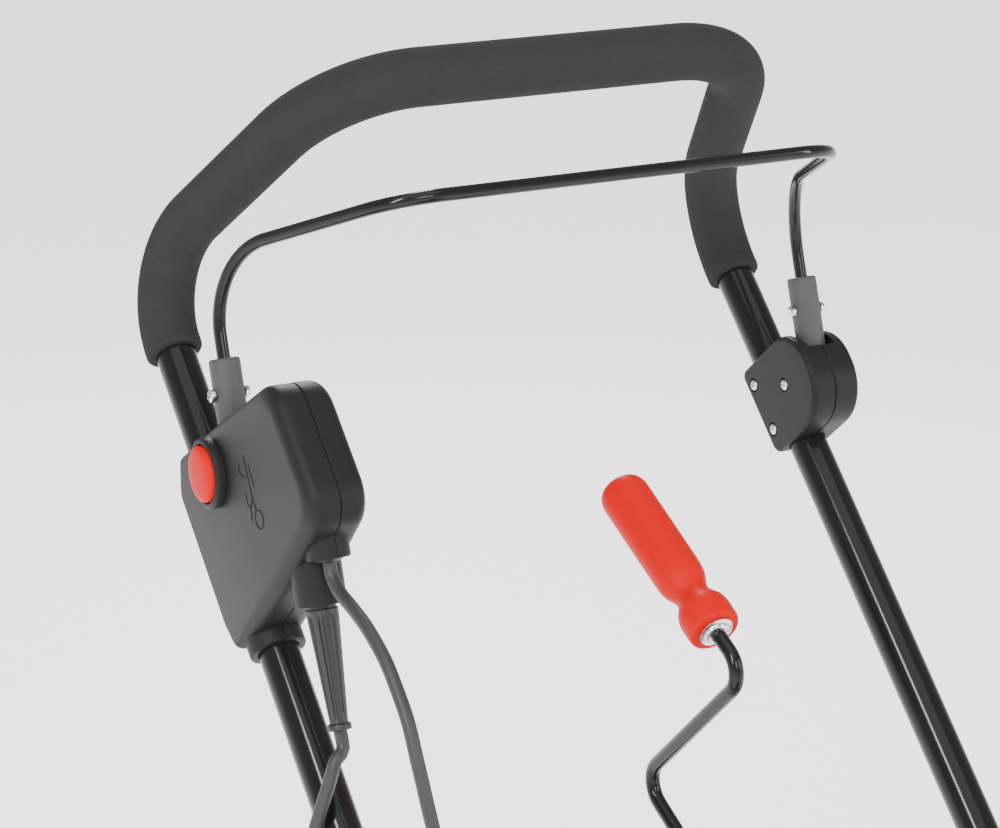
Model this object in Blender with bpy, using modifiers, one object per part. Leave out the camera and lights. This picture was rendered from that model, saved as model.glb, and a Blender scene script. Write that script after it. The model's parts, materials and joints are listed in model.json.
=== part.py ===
"""Corded electric snow thrower: loop handle with switch bail, hand crank for the chute, single-stage auger.

Metres, +Z up, ground at z = 0. The machine faces -Y, the operator stands at +Y, and the operator's right is -X.
Points on the sloping handle are given as (s, d): s runs down the tube from the knee, d stands off it, forward and up.
"""
import math

import bmesh
import bpy
from mathutils import Matrix, Vector

# ---------------------------------------------------------------- driving dimensions
KNEE_Y = 0.548              # where the straight tubes meet the loop
KNEE_Z = 0.920
TUBE_X = 0.2046             # tube centre from the middle plane
SLOPE = math.radians(44.8)  # tube angle above the ground
TUBE_R = 0.0125
TUBE_WALL = 0.0015
FOAM_R = 0.0178
FOAM_END = 0.065            # foam runs this far below the knee
LOOP_CORNER = Vector((0.144, -0.1502, 0.1334))   # from the knee, X from the middle plane
KNEE_BEND_R = 0.0570
CORNER_BEND_R = 0.0750
UPPER_TUBE_END = 0.548
FOLD_S = 0.520
GAP = 0.0003                # clearance between pieces that touch

CABLE_R = 0.004
BAIL_R = 0.004
BAIL_X = 0.2055
BAIL_PIVOT = (0.1755, 0.0330)
SOCKET_TOP = (0.1088, 0.0673)
SOCKET_R = 0.0095

CRANK_LOW = Vector((0, -0.2723, -0.2845))        # from the knee
CRANK_TOP = Vector((0, -0.3823, -0.1798))
CRANK_TILT = math.radians(26.5)
CRANK_R = 0.0045

LOWER_X = TUBE_X - 2 * TUBE_R - 0.0018
CROSSBAR_S = 0.560
FRAME_TOP_Z = 0.165

HOUSING_W = 0.460
HOUSING_FRONT = -0.538
HOUSING_BACK = -0.245
HOUSING_LOW = 0.006
HOUSING_TOP = 0.302
HOUSING_WALL = 0.004
AUGER_Y = -0.410
AUGER_Z = 0.135
AUGER_R = 0.098
SHAFT_R = 0.010

RING_TOP = 0.345
RING_R = 0.100
RING_TEETH = 40
PINION_TEETH = 8            # the crank turns five times as far as the chute
PINION_TIP = RING_R * PINION_TEETH / RING_TEETH + 0.0020
MESH_DEPTH = 0.0025         # how far a pinion tooth dips into the ring

MOTOR_Y = -0.190
MOTOR_Z = 0.262
MOTOR_R = 0.044
BELT_X = 0.246
AUGER_PULLEY_R = 0.060
MOTOR_PULLEY_R = 0.018

AXLE_Y = -0.100
WHEEL_R = 0.090
WHEEL_X = 0.217
WHEEL_W = 0.036
AXLE_R = 0.006
KNOB_END_X = 0.2660         # outermost point of the machine on each side

KNEE = Vector((0, KNEE_Y, KNEE_Z))
COS, SIN = math.cos(SLOPE), math.sin(SLOPE)
HANGING = Vector((0, -0.311, -0.950)).normalized()   # the way the sockets and glands point
CRANK_DIR = Vector((0, math.cos(CRANK_TILT), math.sin(CRANK_TILT)))
PINION_Z = RING_TOP - MESH_DEPTH + PINION_TIP * math.cos(CRANK_TILT)
PINION_Y = KNEE_Y + CRANK_LOW.y + (PINION_Z - KNEE_Z - CRANK_LOW.z) / math.tan(CRANK_TILT)
CHUTE_Y = PINION_Y + PINION_TIP * math.sin(CRANK_TILT) - RING_R


# ---------------------------------------------------------------- scene and materials
def clear_scene():
    for item in list(bpy.data.objects):
        bpy.data.objects.remove(item, do_unlink=True)


clear_scene()
PARTS = bpy.data.collections.new("snow_thrower")
CUTTERS = bpy.data.collections.new("cutters")
bpy.context.scene.collection.children.link(PARTS)
bpy.context.scene.collection.children.link(CUTTERS)


def material(name, color, roughness, metallic=0.0):
    mat = bpy.data.materials.new(name)
    mat.use_nodes = True
    shader = mat.node_tree.nodes["Principled BSDF"]
    shader.inputs["Base Color"].default_value = (*color, 1)
    shader.inputs["Roughness"].default_value = roughness
    shader.inputs["Metallic"].default_value = metallic
    return mat


BLACK_PAINT = material("black_paint", (0.010, 0.010, 0.011), 0.22)
FOAM = material("foam", (0.065, 0.065, 0.066), 0.92)
DARK_PLASTIC = material("dark_plastic", (0.070, 0.070, 0.072), 0.55)
GREY_PLASTIC = material("grey_plastic", (0.150, 0.150, 0.152), 0.60)
BLACK_PLASTIC = material("black_plastic", (0.018, 0.018, 0.019), 0.45)
RED_PLASTIC = material("red_plastic", (0.900, 0.030, 0.010), 0.40)
CABLE_RUBBER = material("cable_rubber", (0.110, 0.110, 0.112), 0.60)
BLACK_RUBBER = material("black_rubber", (0.020, 0.020, 0.021), 0.85)
ALLOY = material("alloy", (0.500, 0.500, 0.510), 0.45, 1.0)
ZINC = material("zinc", (0.720, 0.720, 0.740), 0.28, 1.0)
STEEL = material("steel", (0.350, 0.350, 0.360), 0.35, 1.0)


# ---------------------------------------------------------------- geometry helpers
def on_tube(s, d, x=0.0):
    """A point beside the handle's sloping tubes, in world coordinates."""
    return Vector((x, KNEE_Y - s * COS - d * SIN, KNEE_Z - s * SIN + d * COS))


def frame_matrix(origin, z_axis, x_axis=Vector((1, 0, 0))):
    """A placement whose Z is z_axis and whose X is as near as can be to x_axis."""
    z = Vector(z_axis).normalized()
    y = z.cross(Vector(x_axis)).normalized()
    x = y.cross(z)
    rotation = Matrix((x, y, z)).transposed().to_4x4()
    return Matrix.Translation(origin) @ rotation


TUBE_FRAME = Matrix.Translation(KNEE) @ Matrix(((0, 0, 1), (-SIN, -COS, 0), (COS, -SIN, 0))).to_4x4()
PROFILE_FRAME = Matrix(((0, 0, 1), (1, 0, 0), (0, 1, 0))).to_4x4()   # outline x is +Y, outline y is +Z


def put(name, mesh, mat, matrix=None, cutter=False, smooth=35):
    obj = bpy.data.objects.new(name, mesh)
    (CUTTERS if cutter else PARTS).objects.link(obj)
    if matrix is not None:
        obj.matrix_world = matrix
    if cutter:
        obj.hide_render = True
        obj.display_type = "WIRE"
    else:
        mesh.materials.clear()
        mesh.materials.append(mat)
        mesh.shade_smooth()
        mesh.set_sharp_from_angle(angle=math.radians(smooth))
    return obj


def mesh_of(curve_data, closed=True):
    """The curve's evaluated mesh, with its caps welded on and its faces turned out."""
    source = bpy.data.objects.new("curve_source", curve_data)
    PARTS.objects.link(source)
    bpy.context.view_layer.update()
    evaluated = source.evaluated_get(bpy.context.evaluated_depsgraph_get())
    mesh = bpy.data.meshes.new_from_object(evaluated)
    bpy.data.objects.remove(source, do_unlink=True)
    bm = bmesh.new()
    bm.from_mesh(mesh)
    bmesh.ops.remove_doubles(bm, verts=bm.verts, dist=1e-6)
    if closed:
        bmesh.ops.recalc_face_normals(bm, faces=bm.faces)
    bm.to_mesh(mesh)
    bm.free()
    return mesh


def rounded(corners, steps=5, closed=True):
    """A polyline through the corners, each given as (x, y, radius) or (Vector, radius), with arcs in the bends."""
    pts = [(Vector(c[:-1]) if len(c) > 2 else Vector(c[0]), c[-1]) for c in corners]
    out = []
    count = len(pts)
    for i, (p, radius) in enumerate(pts):
        if radius <= 0 or (not closed and i in (0, count - 1)):
            out.append(p.copy())
            continue
        before = (pts[i - 1][0] - p).normalized()
        after = (pts[(i + 1) % count][0] - p).normalized()
        half = before.angle(after) / 2
        reach = radius / math.tan(half)
        middle = p + (before + after).normalized() * (radius / math.sin(half))
        first, last = p + before * reach, p + after * reach
        a, b = first - middle, last - middle
        sweep = a.angle(b)
        for k in range(steps + 1):
            t = k / steps
            arc = (a * math.sin((1 - t) * sweep) + b * math.sin(t * sweep)) / math.sin(sweep)
            out.append(middle + arc)
    return out


def flat(outline, z0, z1, holes=()):
    """A flat plate from 2D outlines, between two heights along its own Z."""
    curve = bpy.data.curves.new("outline", "CURVE")
    curve.dimensions = "2D"
    curve.fill_mode = "BOTH"
    curve.extrude = (z1 - z0) / 2
    for loop in (outline, *holes):
        spline = curve.splines.new("POLY")
        spline.points.add(len(loop) - 1)
        for point, p in zip(spline.points, loop):
            point.co = (p[0], p[1], 0, 1)
        spline.use_cyclic_u = True
    mesh = mesh_of(curve)
    mesh.transform(Matrix.Translation((0, 0, (z0 + z1) / 2)))
    return mesh


def circle(radius, sides=24, centre=(0, 0)):
    angles = [2 * math.pi * k / sides for k in range(sides)]
    return [(centre[0] + radius * math.cos(a), centre[1] + radius * math.sin(a)) for a in angles]


def hull_of_circles(a, ra, b, rb, steps=16):
    """The outline stretched round two circles, the first one the larger."""
    line = math.atan2(b.y - a.y, b.x - a.x)
    lean = math.acos((ra - rb) / (b - a).length)
    out = []
    for k in range(steps + 1):
        angle = line + lean + (2 * math.pi - 2 * lean) * k / steps
        out.append((a.x + ra * math.cos(angle), a.y + ra * math.sin(angle)))
    for k in range(steps // 2 + 1):
        angle = line - lean + 2 * lean * k / (steps // 2)
        out.append((b.x + rb * math.cos(angle), b.y + rb * math.sin(angle)))
    return out


def turned(name, profile, mat, matrix, sides=16, cutter=False, smooth=35):
    """A solid of revolution about Z: profile is (radius, z), down its outer side and closed up on the inner side."""
    bm = bmesh.new()
    verts = [bm.verts.new((r, 0, z)) for r, z in profile]
    for a, b in zip(verts, verts[1:] + verts[:1]):
        if max(a.co.x, b.co.x) > 1e-6:
            bm.edges.new((a, b))
    mesh = bpy.data.meshes.new(name)
    bm.to_mesh(mesh)
    bm.free()
    obj = put(name, mesh, mat, matrix, cutter, smooth)
    screw = obj.modifiers.new("Screw", "SCREW")
    screw.steps = sides
    screw.render_steps = sides
    screw.use_merge_vertices = True
    screw.merge_threshold = 1e-5
    screw.use_smooth_shade = not cutter
    return obj


def cylinder(name, radius, length, mat, matrix, sides=16, cutter=False, bore=0.0, edge=0.0):
    """A cylinder from z = 0 to z = length, with an optional bore and broken edges."""
    if bore:
        profile = [(bore, length), (radius - edge, length), (radius, length - edge), (radius, edge),
                   (radius - edge, 0), (bore, 0)]
    else:
        profile = [(0, length), (radius - edge, length), (radius, length - edge), (radius, edge),
                   (radius - edge, 0), (0, 0)]
    if not edge:
        profile = [profile[0], profile[1], profile[4], profile[5]]
    return turned(name, profile, mat, matrix, sides, cutter)


def sweep(points, radius, resolution=2, caps=True):
    """A round rod or tube skin along 3D points."""
    curve = bpy.data.curves.new("rod", "CURVE")
    curve.dimensions = "3D"
    curve.bevel_depth = radius
    curve.bevel_resolution = resolution
    curve.use_fill_caps = caps
    spline = curve.splines.new("POLY")
    spline.points.add(len(points) - 1)
    for point, p in zip(spline.points, points):
        point.co = (*p, 1)
    return mesh_of(curve, caps)


def hollow(obj, wall):
    solid = obj.modifiers.new("Solidify", "SOLIDIFY")
    solid.thickness = wall
    solid.offset = -1
    solid.use_even_offset = True


def soften(obj, width, segments=2, angle=40):
    bevel = obj.modifiers.new("Bevel", "BEVEL")
    bevel.width = width
    bevel.segments = segments
    bevel.limit_method = "ANGLE"
    bevel.angle_limit = math.radians(angle)


def cut(obj, *cutters, operation="DIFFERENCE"):
    for cutter in cutters:
        boolean = obj.modifiers.new("Boolean", "BOOLEAN")
        boolean.operation = operation
        boolean.solver = "EXACT"
        boolean.object = cutter


def box_mesh(low, high):
    bm = bmesh.new()
    bmesh.ops.create_cube(bm, size=1)
    low, high = Vector(low), Vector(high)
    size = high - low
    for v in bm.verts:
        v.co = low + Vector((size[i] * (v.co[i] + 0.5) for i in range(3)))
    mesh = bpy.data.meshes.new("box")
    bm.to_mesh(mesh)
    bm.free()
    return mesh


def smooth_route(points, spacing):
    """Points every spacing metres along a smooth curve through the given ones."""
    pts = [Vector(p) for p in points]
    pts = [pts[0] * 2 - pts[1], *pts, pts[-1] * 2 - pts[-2]]
    dense = []
    for a, b, c, d in zip(pts, pts[1:], pts[2:], pts[3:]):
        for k in range(24):
            t = k / 24
            dense.append(0.5 * ((2 * b) + (c - a) * t + (2 * a - 5 * b + 4 * c - d) * t * t
                                + (3 * b - a - 3 * c + d) * t ** 3))
    dense.append(pts[-2])
    out, walked = [dense[0]], 0.0
    for a, b in zip(dense, dense[1:]):
        walked += (b - a).length
        if walked >= spacing:
            out.append(b)
            walked = 0.0
    if (out[-1] - dense[-1]).length < spacing / 2:
        out[-1] = dense[-1]
    else:
        out.append(dense[-1])
    return out


# ---------------------------------------------------------------- handle
def loop_path(tube_end):
    """Centre line of the loop handle from the right tube's end to the left tube's end."""
    half = [
        (on_tube(tube_end, 0, TUBE_X), 0),
        (on_tube(0, 0, TUBE_X), KNEE_BEND_R),
        (KNEE + LOOP_CORNER, CORNER_BEND_R),
    ]
    mirrored = [(Vector((-p.x, p.y, p.z)), r) for p, r in half]
    return rounded(mirrored + half[::-1], steps=5, closed=False)


def handle():
    tube = put("handle_loop_tube", sweep(loop_path(UPPER_TUBE_END), TUBE_R, 3, caps=False), BLACK_PAINT)
    hollow(tube, TUBE_WALL)
    holes = []
    for side in (-1, 1):
        start = on_tube(FOLD_S, 0, side * TUBE_X - 0.03)
        holes.append(cylinder(f"cut_fold_{side}", 0.0033, 0.06, None, frame_matrix(start, (1, 0, 0), (0, 0, 1)), 12, True))
    cut(tube, *holes)
    foam = put("foam_grip", sweep(loop_path(FOAM_END), FOAM_R, 3, caps=False), FOAM)
    facet = math.cos(math.pi / 10)
    hollow(foam, (FOAM_R - TUBE_R) * facet - 2 * GAP)


# ---------------------------------------------------------------- switch box (operator's right)
BOX_OUTLINE = [   # (d, s, radius)
    (-0.0020, 0.1345, 0.006), (-0.0200, 0.1520, 0.010), (-0.0200, 0.2420, 0.014), (-0.0150, 0.2620, 0.006),
    (0.0660, 0.2648, 0.030), (0.1520, 0.2590, 0.020), (0.1520, 0.1715, 0.024), (0.0500, 0.1450, 0.030),
]
BOX_OUT = 0.0200      # outer half's depth
BOX_IN = 0.0175
BOX_WALL = 0.0025
BUTTON_AT = (0.1690, 0.0400)
BUTTON_R = 0.0170
COLLAR_R = 0.0212
MOTOR_BOSS_END = (0.2665, 0.1080)     # bottom centres of the two moulded cable bosses
SUPPLY_BOSS_END = (0.2805, 0.0780)
MOTOR_BOSS_R = 0.0128
SUPPLY_BOSS_R = 0.0150
BOSS_BORE = 0.0088


def inset(outline, wall):
    """The same outline, moved in by the wall thickness, for an outline listed with the inside on its left."""
    pts = [Vector(p[:2]) for p in outline]
    out = []
    for i, p in enumerate(pts):
        before = (p - pts[i - 1]).normalized()
        after = (pts[(i + 1) % len(pts)] - p).normalized()
        normal = (Vector((-before.y, before.x)) + Vector((-after.y, after.x))).normalized()
        lean = normal.dot(Vector((-before.y, before.x)))
        out.append((*(p - normal * wall / lean), outline[i][2] * 0.8))
    return out


def tube_cutter(name, x):
    return cylinder(name, TUBE_R + GAP, 0.30, None, frame_matrix(on_tube(0.08, 0, x), (0, -COS, -SIN)), 24, True)


def slot_cutter(name, x, low):
    """The slot through the top of a casing in which a bail socket swings, from low off the tube's axis."""
    outline = [(low, 0.1200), (0.0670, 0.1200), (0.0600, 0.1500), (0.0500, 0.1720), (low, 0.1720)]
    half_width = SOCKET_R + 0.0016
    return put(name, flat(outline, -half_width, half_width), None, Matrix.Translation((x, 0, 0)) @ TUBE_FRAME, True)


def boss_cylinder(name, end, radius, length, x):
    start = on_tube(*end, x) - HANGING * 0.030
    return cylinder(name, radius, length, None, frame_matrix(start, HANGING), 20, True)


def switch_box():
    x = -TUBE_X
    place = Matrix.Translation((x, 0, 0)) @ TUBE_FRAME
    pocket = rounded(inset(BOX_OUTLINE, BOX_WALL), 2)
    for name, z0, z1 in (("switch_box_outer", -BOX_OUT, -GAP / 2), ("switch_box_inner", GAP / 2, BOX_IN)):
        half = put(name, flat(rounded(BOX_OUTLINE, 3), z0, z1), DARK_PLASTIC, place)
        soften(half, 0.0040, 1)
        collar = cylinder(f"cut_{name}_collar", 0.0172, 0.034, None,
                          frame_matrix(on_tube(0.2380, 0, x), (0, -COS, -SIN)), 20, True)
        seam = 0.0004
        side_z = (z0 - 0.01, -seam) if z0 < -0.01 else (seam, z1 + 0.01)
        side = put(f"cut_{name}_side", box_mesh((-0.1, 0.1, side_z[0]), (0.2, 0.4, side_z[1])), None, place, True)
        motor_boss = boss_cylinder(f"cut_{name}_boss_a", MOTOR_BOSS_END, MOTOR_BOSS_R, 0.030, x)
        supply_boss = boss_cylinder(f"cut_{name}_boss_b", SUPPLY_BOSS_END, SUPPLY_BOSS_R, 0.030, x)
        for added in (collar, motor_boss, supply_boss):
            cut(added, side, operation="INTERSECT")
            cut(half, added, operation="UNION")
        hollowed = (z0 + BOX_WALL, z1 + 0.01) if z0 < -0.01 else (z0 - 0.01, z1 - BOX_WALL)
        cut(half, put(f"cut_{name}_pocket", flat(pocket, *hollowed), None, place, True))
        cut(half, tube_cutter(f"cut_{name}_tube", x))
        cut(half, slot_cutter(f"cut_{name}_slot", x, 0.0190))
        cut(half, boss_cylinder(f"cut_{name}_bore_a", MOTOR_BOSS_END, BOSS_BORE, 0.040, x))
        cut(half, boss_cylinder(f"cut_{name}_bore_b", SUPPLY_BOSS_END, BOSS_BORE, 0.040, x))
        if z0 < -0.01:
            start = on_tube(*BUTTON_AT, x - BOX_OUT - 0.004)
            cut(half, cylinder("cut_button", 0.0112, 0.012, None, frame_matrix(start, (1, 0, 0), (0, 0, 1)), 24, True))




def safety_button():
    face = -TUBE_X - BOX_OUT
    out = frame_matrix(on_tube(*BUTTON_AT, face), (-1, 0, 0), (0, 0, 1))
    turned("button_collar", [(BUTTON_R + 0.0006, 0.0062), (0.0196, 0.0062), (COLLAR_R, 0.0046), (COLLAR_R, GAP),
                             (BUTTON_R + 0.0006, GAP)], DARK_PLASTIC, out, 24)
    turned("safety_button", [(0, 0.0104), (0.0105, 0.0100), (0.0150, 0.0086), (BUTTON_R, 0.0062), (BUTTON_R, 0.0046),
                             (0.0105, 0.0046), (0.0105, -0.0024), (0, -0.0024)], RED_PLASTIC, out, 20)
    coil = []
    turns, per_turn = 2, 12
    for k in range(turns * per_turn + 1):
        a = 2 * math.pi * k / per_turn
        coil.append((0.0135 * math.cos(a), 0.0135 * math.sin(a), 0.0008 + 0.0030 * k / (turns * per_turn)))
    put("button_spring", sweep(coil, 0.0004, 0), ZINC, out)
    module = put("switch_module", box_mesh((0.0500, 0.172, -0.0040), (0.1200, 0.240, 0.0130)), BLACK_PLASTIC,
                 Matrix.Translation((-TUBE_X, 0, 0)) @ TUBE_FRAME)
    soften(module, 0.0015, 2)


RELIEF_LENGTH = 0.0720


def cable_exits():
    """The grommet of the motor cable and the ribbed strain relief of the supply cord; returns where the cords leave."""
    x = -TUBE_X
    motor_exit = on_tube(*MOTOR_BOSS_END, x) + HANGING * 0.0015
    turned("cable_grommet", [(CABLE_R + GAP, 0.0000), (0.0072, 0.0000), (BOSS_BORE - GAP, -0.0012),
                             (BOSS_BORE - GAP, -0.0120), (CABLE_R + GAP, -0.0120)],
           BLACK_RUBBER, frame_matrix(motor_exit, HANGING), 20)
    boss_end = on_tube(*SUPPLY_BOSS_END, x)
    turned("strain_relief",
           [(CABLE_R + GAP, RELIEF_LENGTH), (0.0070, RELIEF_LENGTH), (0.0070, RELIEF_LENGTH - 0.003),
            (0.0056, RELIEF_LENGTH - 0.004), (0.0094, 0.0030), (0.0094, 0.0020), (BOSS_BORE - GAP, 0.0020),
            (BOSS_BORE - GAP, -0.0120), (CABLE_R + GAP, -0.0120)],
           BLACK_RUBBER, frame_matrix(boss_end, HANGING), 16)
    return boss_end + HANGING * RELIEF_LENGTH, motor_exit


# ---------------------------------------------------------------- bail
def bail_path():
    top = on_tube(*SOCKET_TOP, BAIL_X) + HANGING * 0.0260
    leg = KNEE + Vector((BAIL_X, -0.1055, 0.0294))
    bar = KNEE + Vector((0.1473, -0.2445, 0.0847))
    half = [(top, 0), (leg, 0.052), (bar, 0.040)]
    mirrored = [(Vector((-p.x, p.y, p.z)), r) for p, r in half]
    return rounded(mirrored + half[::-1], steps=5, closed=False)


def bail():
    rod = put("bail_rod", sweep(bail_path(), BAIL_R, 2), BLACK_PAINT)
    pivot = on_tube(*BAIL_PIVOT)
    for side, name in ((-1, "right"), (1, "left")):
        x = side * BAIL_X
        top = on_tube(*SOCKET_TOP, x)
        length = (pivot - on_tube(*SOCKET_TOP)).length
        place = frame_matrix(top, HANGING)
        socket = turned(f"bail_socket_{name}",
                        [(BAIL_R + GAP, 0), (0.0080, 0), (SOCKET_R, 0.0012), (SOCKET_R, length + 0.004),
                         (0.0080, length + 0.006), (0, length + 0.006), (0, 0.0290), (BAIL_R + GAP, 0.0290)][::-1],
                        GREY_PLASTIC, place, 12)
        hub_place = frame_matrix(Vector((x - 0.0105, pivot.y, pivot.z)), (1, 0, 0), (0, 0, 1))
        hub = cylinder(f"cut_hub_{name}", 0.0118, 0.0210, None, hub_place, 12, True)
        cut(socket, hub, operation="UNION")
        pin = cylinder(f"cut_trunnion_{name}", 0.0050, 0.0290, None,
                       frame_matrix(Vector((side * TUBE_X - 0.0145, pivot.y, pivot.z)), (1, 0, 0), (0, 0, 1)), 10, True)
        cut(socket, pin, operation="UNION")
        bolt_at = top + HANGING * 0.0215
        cross = frame_matrix(bolt_at - Vector((0.015, 0, 0)), (1, 0, 0), (0, 0, 1))
        hole = cylinder(f"cut_bolt_{name}", 0.0023, 0.030, None, cross, 8, True)
        cut(socket, hole)
        cut(rod, hole)
        across = frame_matrix(bolt_at, (side, 0, 0), (0, 0, 1))
        reach = SOCKET_R + GAP
        turned(f"bail_bolt_{name}",
               [(0, reach + 0.0036), (0.0022, reach + 0.0036), (0.0030, reach + 0.0034), (0.0040, reach + 0.0030),
                (0.0040, reach), (0.0020, reach), (0.0020, -reach), (0.0038, -reach), (0.0038, -reach - 0.0024),
                (0.0022, -reach - 0.0034), (0, -reach - 0.0034)], ZINC, across, 12)


# ---------------------------------------------------------------- clamp bracket (operator's left)
BRACKET_OUTLINE = [   # (d, s, radius)
    (-0.0160, 0.1310, 0.005), (-0.0160, 0.1945, 0.006), (0.0590, 0.2010, 0.029), (0.0590, 0.1370, 0.029),
]
BRACKET_IN = 0.0170
BRACKET_OUT = 0.0190
BRACKET_WALL = 0.0023
BRACKET_SCREWS = [(0.1457, -0.0064), (0.1644, 0.0254), (0.1800, -0.0064)]
SCREW_SINK = 0.0012     # depth of the round recess that each screw head sits in


def clamp_bracket():
    x = TUBE_X
    place = Matrix.Translation((x, 0, 0)) @ TUBE_FRAME
    pocket = rounded(inset(BRACKET_OUTLINE, BRACKET_WALL), 6)
    for name, z0, z1 in (("clamp_bracket_inner", -BRACKET_IN, -GAP / 2), ("clamp_bracket_outer", GAP / 2, BRACKET_OUT)):
        half = put(name, flat(rounded(BRACKET_OUTLINE, 8), z0, z1), DARK_PLASTIC, place)
        soften(half, 0.0030, 1)
        hollowed = (z0 + BRACKET_WALL, z1 + 0.01) if z0 < -0.01 else (z0 - 0.01, z1 - BRACKET_WALL)
        cut(half, put(f"cut_{name}_pocket", flat(pocket, *hollowed), None, place, True))
        cut(half, tube_cutter(f"cut_{name}_tube", x))
        cut(half, slot_cutter(f"cut_{name}_slot", x, 0.0175))
        if z0 < -0.01:
            for k, (s, d) in enumerate(BRACKET_SCREWS):
                recess = cylinder(f"cut_recess_{k}", 0.0048, SCREW_SINK + 0.01, None,
                                  frame_matrix(on_tube(s, d, x - BRACKET_IN - 0.01), (1, 0, 0), (0, 0, 1)), 16, True)
                cut(half, recess)


def bracket_screws():
    seat = TUBE_X - BRACKET_IN + SCREW_SINK
    for k, (s, d) in enumerate(BRACKET_SCREWS):
        out = frame_matrix(on_tube(s, d, seat), (-1, 0, 0), (0, 0, 1))
        turned(f"bracket_screw_{k + 1}", [(0, 0.0022), (0.0022, 0.0020), (0.0036, 0.0010), (0.0036, GAP), (0, GAP)],
               ZINC, out, 12)


# ---------------------------------------------------------------- crank
GRIP_START = 0.0370     # distances along the grip's axis from the crank's top corner
GRIP_LENGTH = 0.1225
GRIP_R = 0.0150


def crank_point(y):
    """The point of the rod's straight part at world y."""
    low = KNEE + CRANK_LOW
    return Vector((0, y, low.z + (y - low.y) * math.tan(CRANK_TILT)))


def crank():
    top = KNEE + CRANK_TOP
    end = crank_point(PINION_Y - 0.0036)
    path = rounded([(end, 0), (KNEE + CRANK_LOW, 0.015), (top, 0.014), (top + CRANK_DIR * 0.150, 0)],
                   steps=6, closed=False)
    put("crank_rod", sweep(path, CRANK_R, 2), BLACK_PAINT)
    along = frame_matrix(top + CRANK_DIR * GRIP_START, CRANK_DIR)
    bore = CRANK_R + GAP
    length = GRIP_LENGTH
    turned("crank_grip",
           [(0, length), (0.0080, length - 0.0004), (0.0125, length - 0.0022), (0.0147, length - 0.0065),
            (0.0152, length - 0.0120), (0.0150, 0.0640), (0.0147, 0.0440), (0.0128, 0.0345), (0.0106, 0.0285),
            (0.0112, 0.0240), (0.0150, 0.0175), (0.0160, 0.0140), (0.0160, 0.0030), (0.0150, 0.0),
            (bore, 0.0), (bore, 0.1160), (0, 0.1160)], RED_PLASTIC, along, 16, smooth=50)
    turned("grip_washer", [(bore, -GAP), (0.0105, -GAP), (0.0105, -0.0016), (0.0075, -0.0016), (0.0075, -0.0034),
                           (bore, -0.0034)], ZINC, along, 16)


def toothed(root, tip, teeth, width, phase=0.0):
    """Outline of a wheel with straight-sided teeth."""
    out = []
    for k in range(teeth):
        middle = 2 * math.pi * (k + phase) / teeth
        for radius, sign in ((root, -1), (tip, -1), (tip, 1), (root, 1)):
            a = middle + sign * math.asin(width / 2 / radius)
            out.append((radius * math.cos(a), radius * math.sin(a)))
    return out


def crank_pinion():
    centre = crank_point(PINION_Y)
    down = Vector((0, math.sin(CRANK_TILT), -math.cos(CRANK_TILT)))
    place = frame_matrix(centre, CRANK_DIR, down)
    wheel = flat(toothed(0.0150, PINION_TIP, PINION_TEETH, 0.0040), -0.0036, 0.0040, [circle(CRANK_R + GAP, 12)])
    put("crank_pinion", wheel, BLACK_PLASTIC, place)


def crank_eye():
    """A bent strap on the crossbar with an eye that the crank rod turns in."""
    bar = on_tube(CROSSBAR_S, 0)
    rod = crank_point(bar.y - 0.010)
    place = frame_matrix(rod, CRANK_DIR)
    eye = cylinder("crank_eye", 0.0115, 0.0120, BLACK_PLASTIC, place, 20, bore=CRANK_R + 0.0004)
    reach = (bar - rod).length
    foot = put("cut_eye_foot", box_mesh((-0.0060, -reach - 0.004, 0.0), (0.0060, -0.0080, 0.0120)), None,
               frame_matrix(rod, CRANK_DIR), True)
    cut(eye, foot, operation="UNION")
    cut(eye, cylinder("cut_eye_bar", 0.0095 + GAP, 0.06, None,
                      frame_matrix(bar - Vector((0.03, 0, 0)), (1, 0, 0), (0, 0, 1)), 16, True))


# ---------------------------------------------------------------- lower handle and fold
LOWER_START = 0.498
LOWER_END = 1.015


def lower_handle():
    for side, name in ((-1, "right"), (1, "left")):
        x = side * LOWER_X
        top = on_tube(LOWER_START, 0, x)
        tube = put(f"lower_tube_{name}", sweep([top, on_tube(LOWER_END, 0, x)], TUBE_R, 4, caps=False), BLACK_PAINT)
        hollow(tube, TUBE_WALL)
        for s in (FOLD_S, LOWER_END - 0.020):
            across = frame_matrix(on_tube(s, 0, x - 0.03), (1, 0, 0), (0, 0, 1))
            cut(tube, cylinder(f"cut_lower_{name}_{s:.2f}", 0.0033, 0.06, None, across, 12, True))
        inner = LOWER_X - TUBE_R - 0.0030
        out = frame_matrix(on_tube(FOLD_S, 0, side * inner), (side, 0, 0), (0, 0, 1))
        reach = TUBE_X + TUBE_R - inner + 0.0180
        turned(f"fold_bolt_{name}", [(0, reach), (0.0030, reach), (0.0030, 0.0), (0.0055, 0.0), (0.0055, -0.0035), (0, -0.0035)],
               ZINC, out, 12)
        fold_knob(name, side)
    half = LOWER_X - TUBE_R - 2 * GAP
    start = on_tube(CROSSBAR_S, 0, -half)
    cylinder("crossbar", 0.0095, 2 * half, BLACK_PAINT, frame_matrix(start, (1, 0, 0), (0, 0, 1)), 16)


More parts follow.
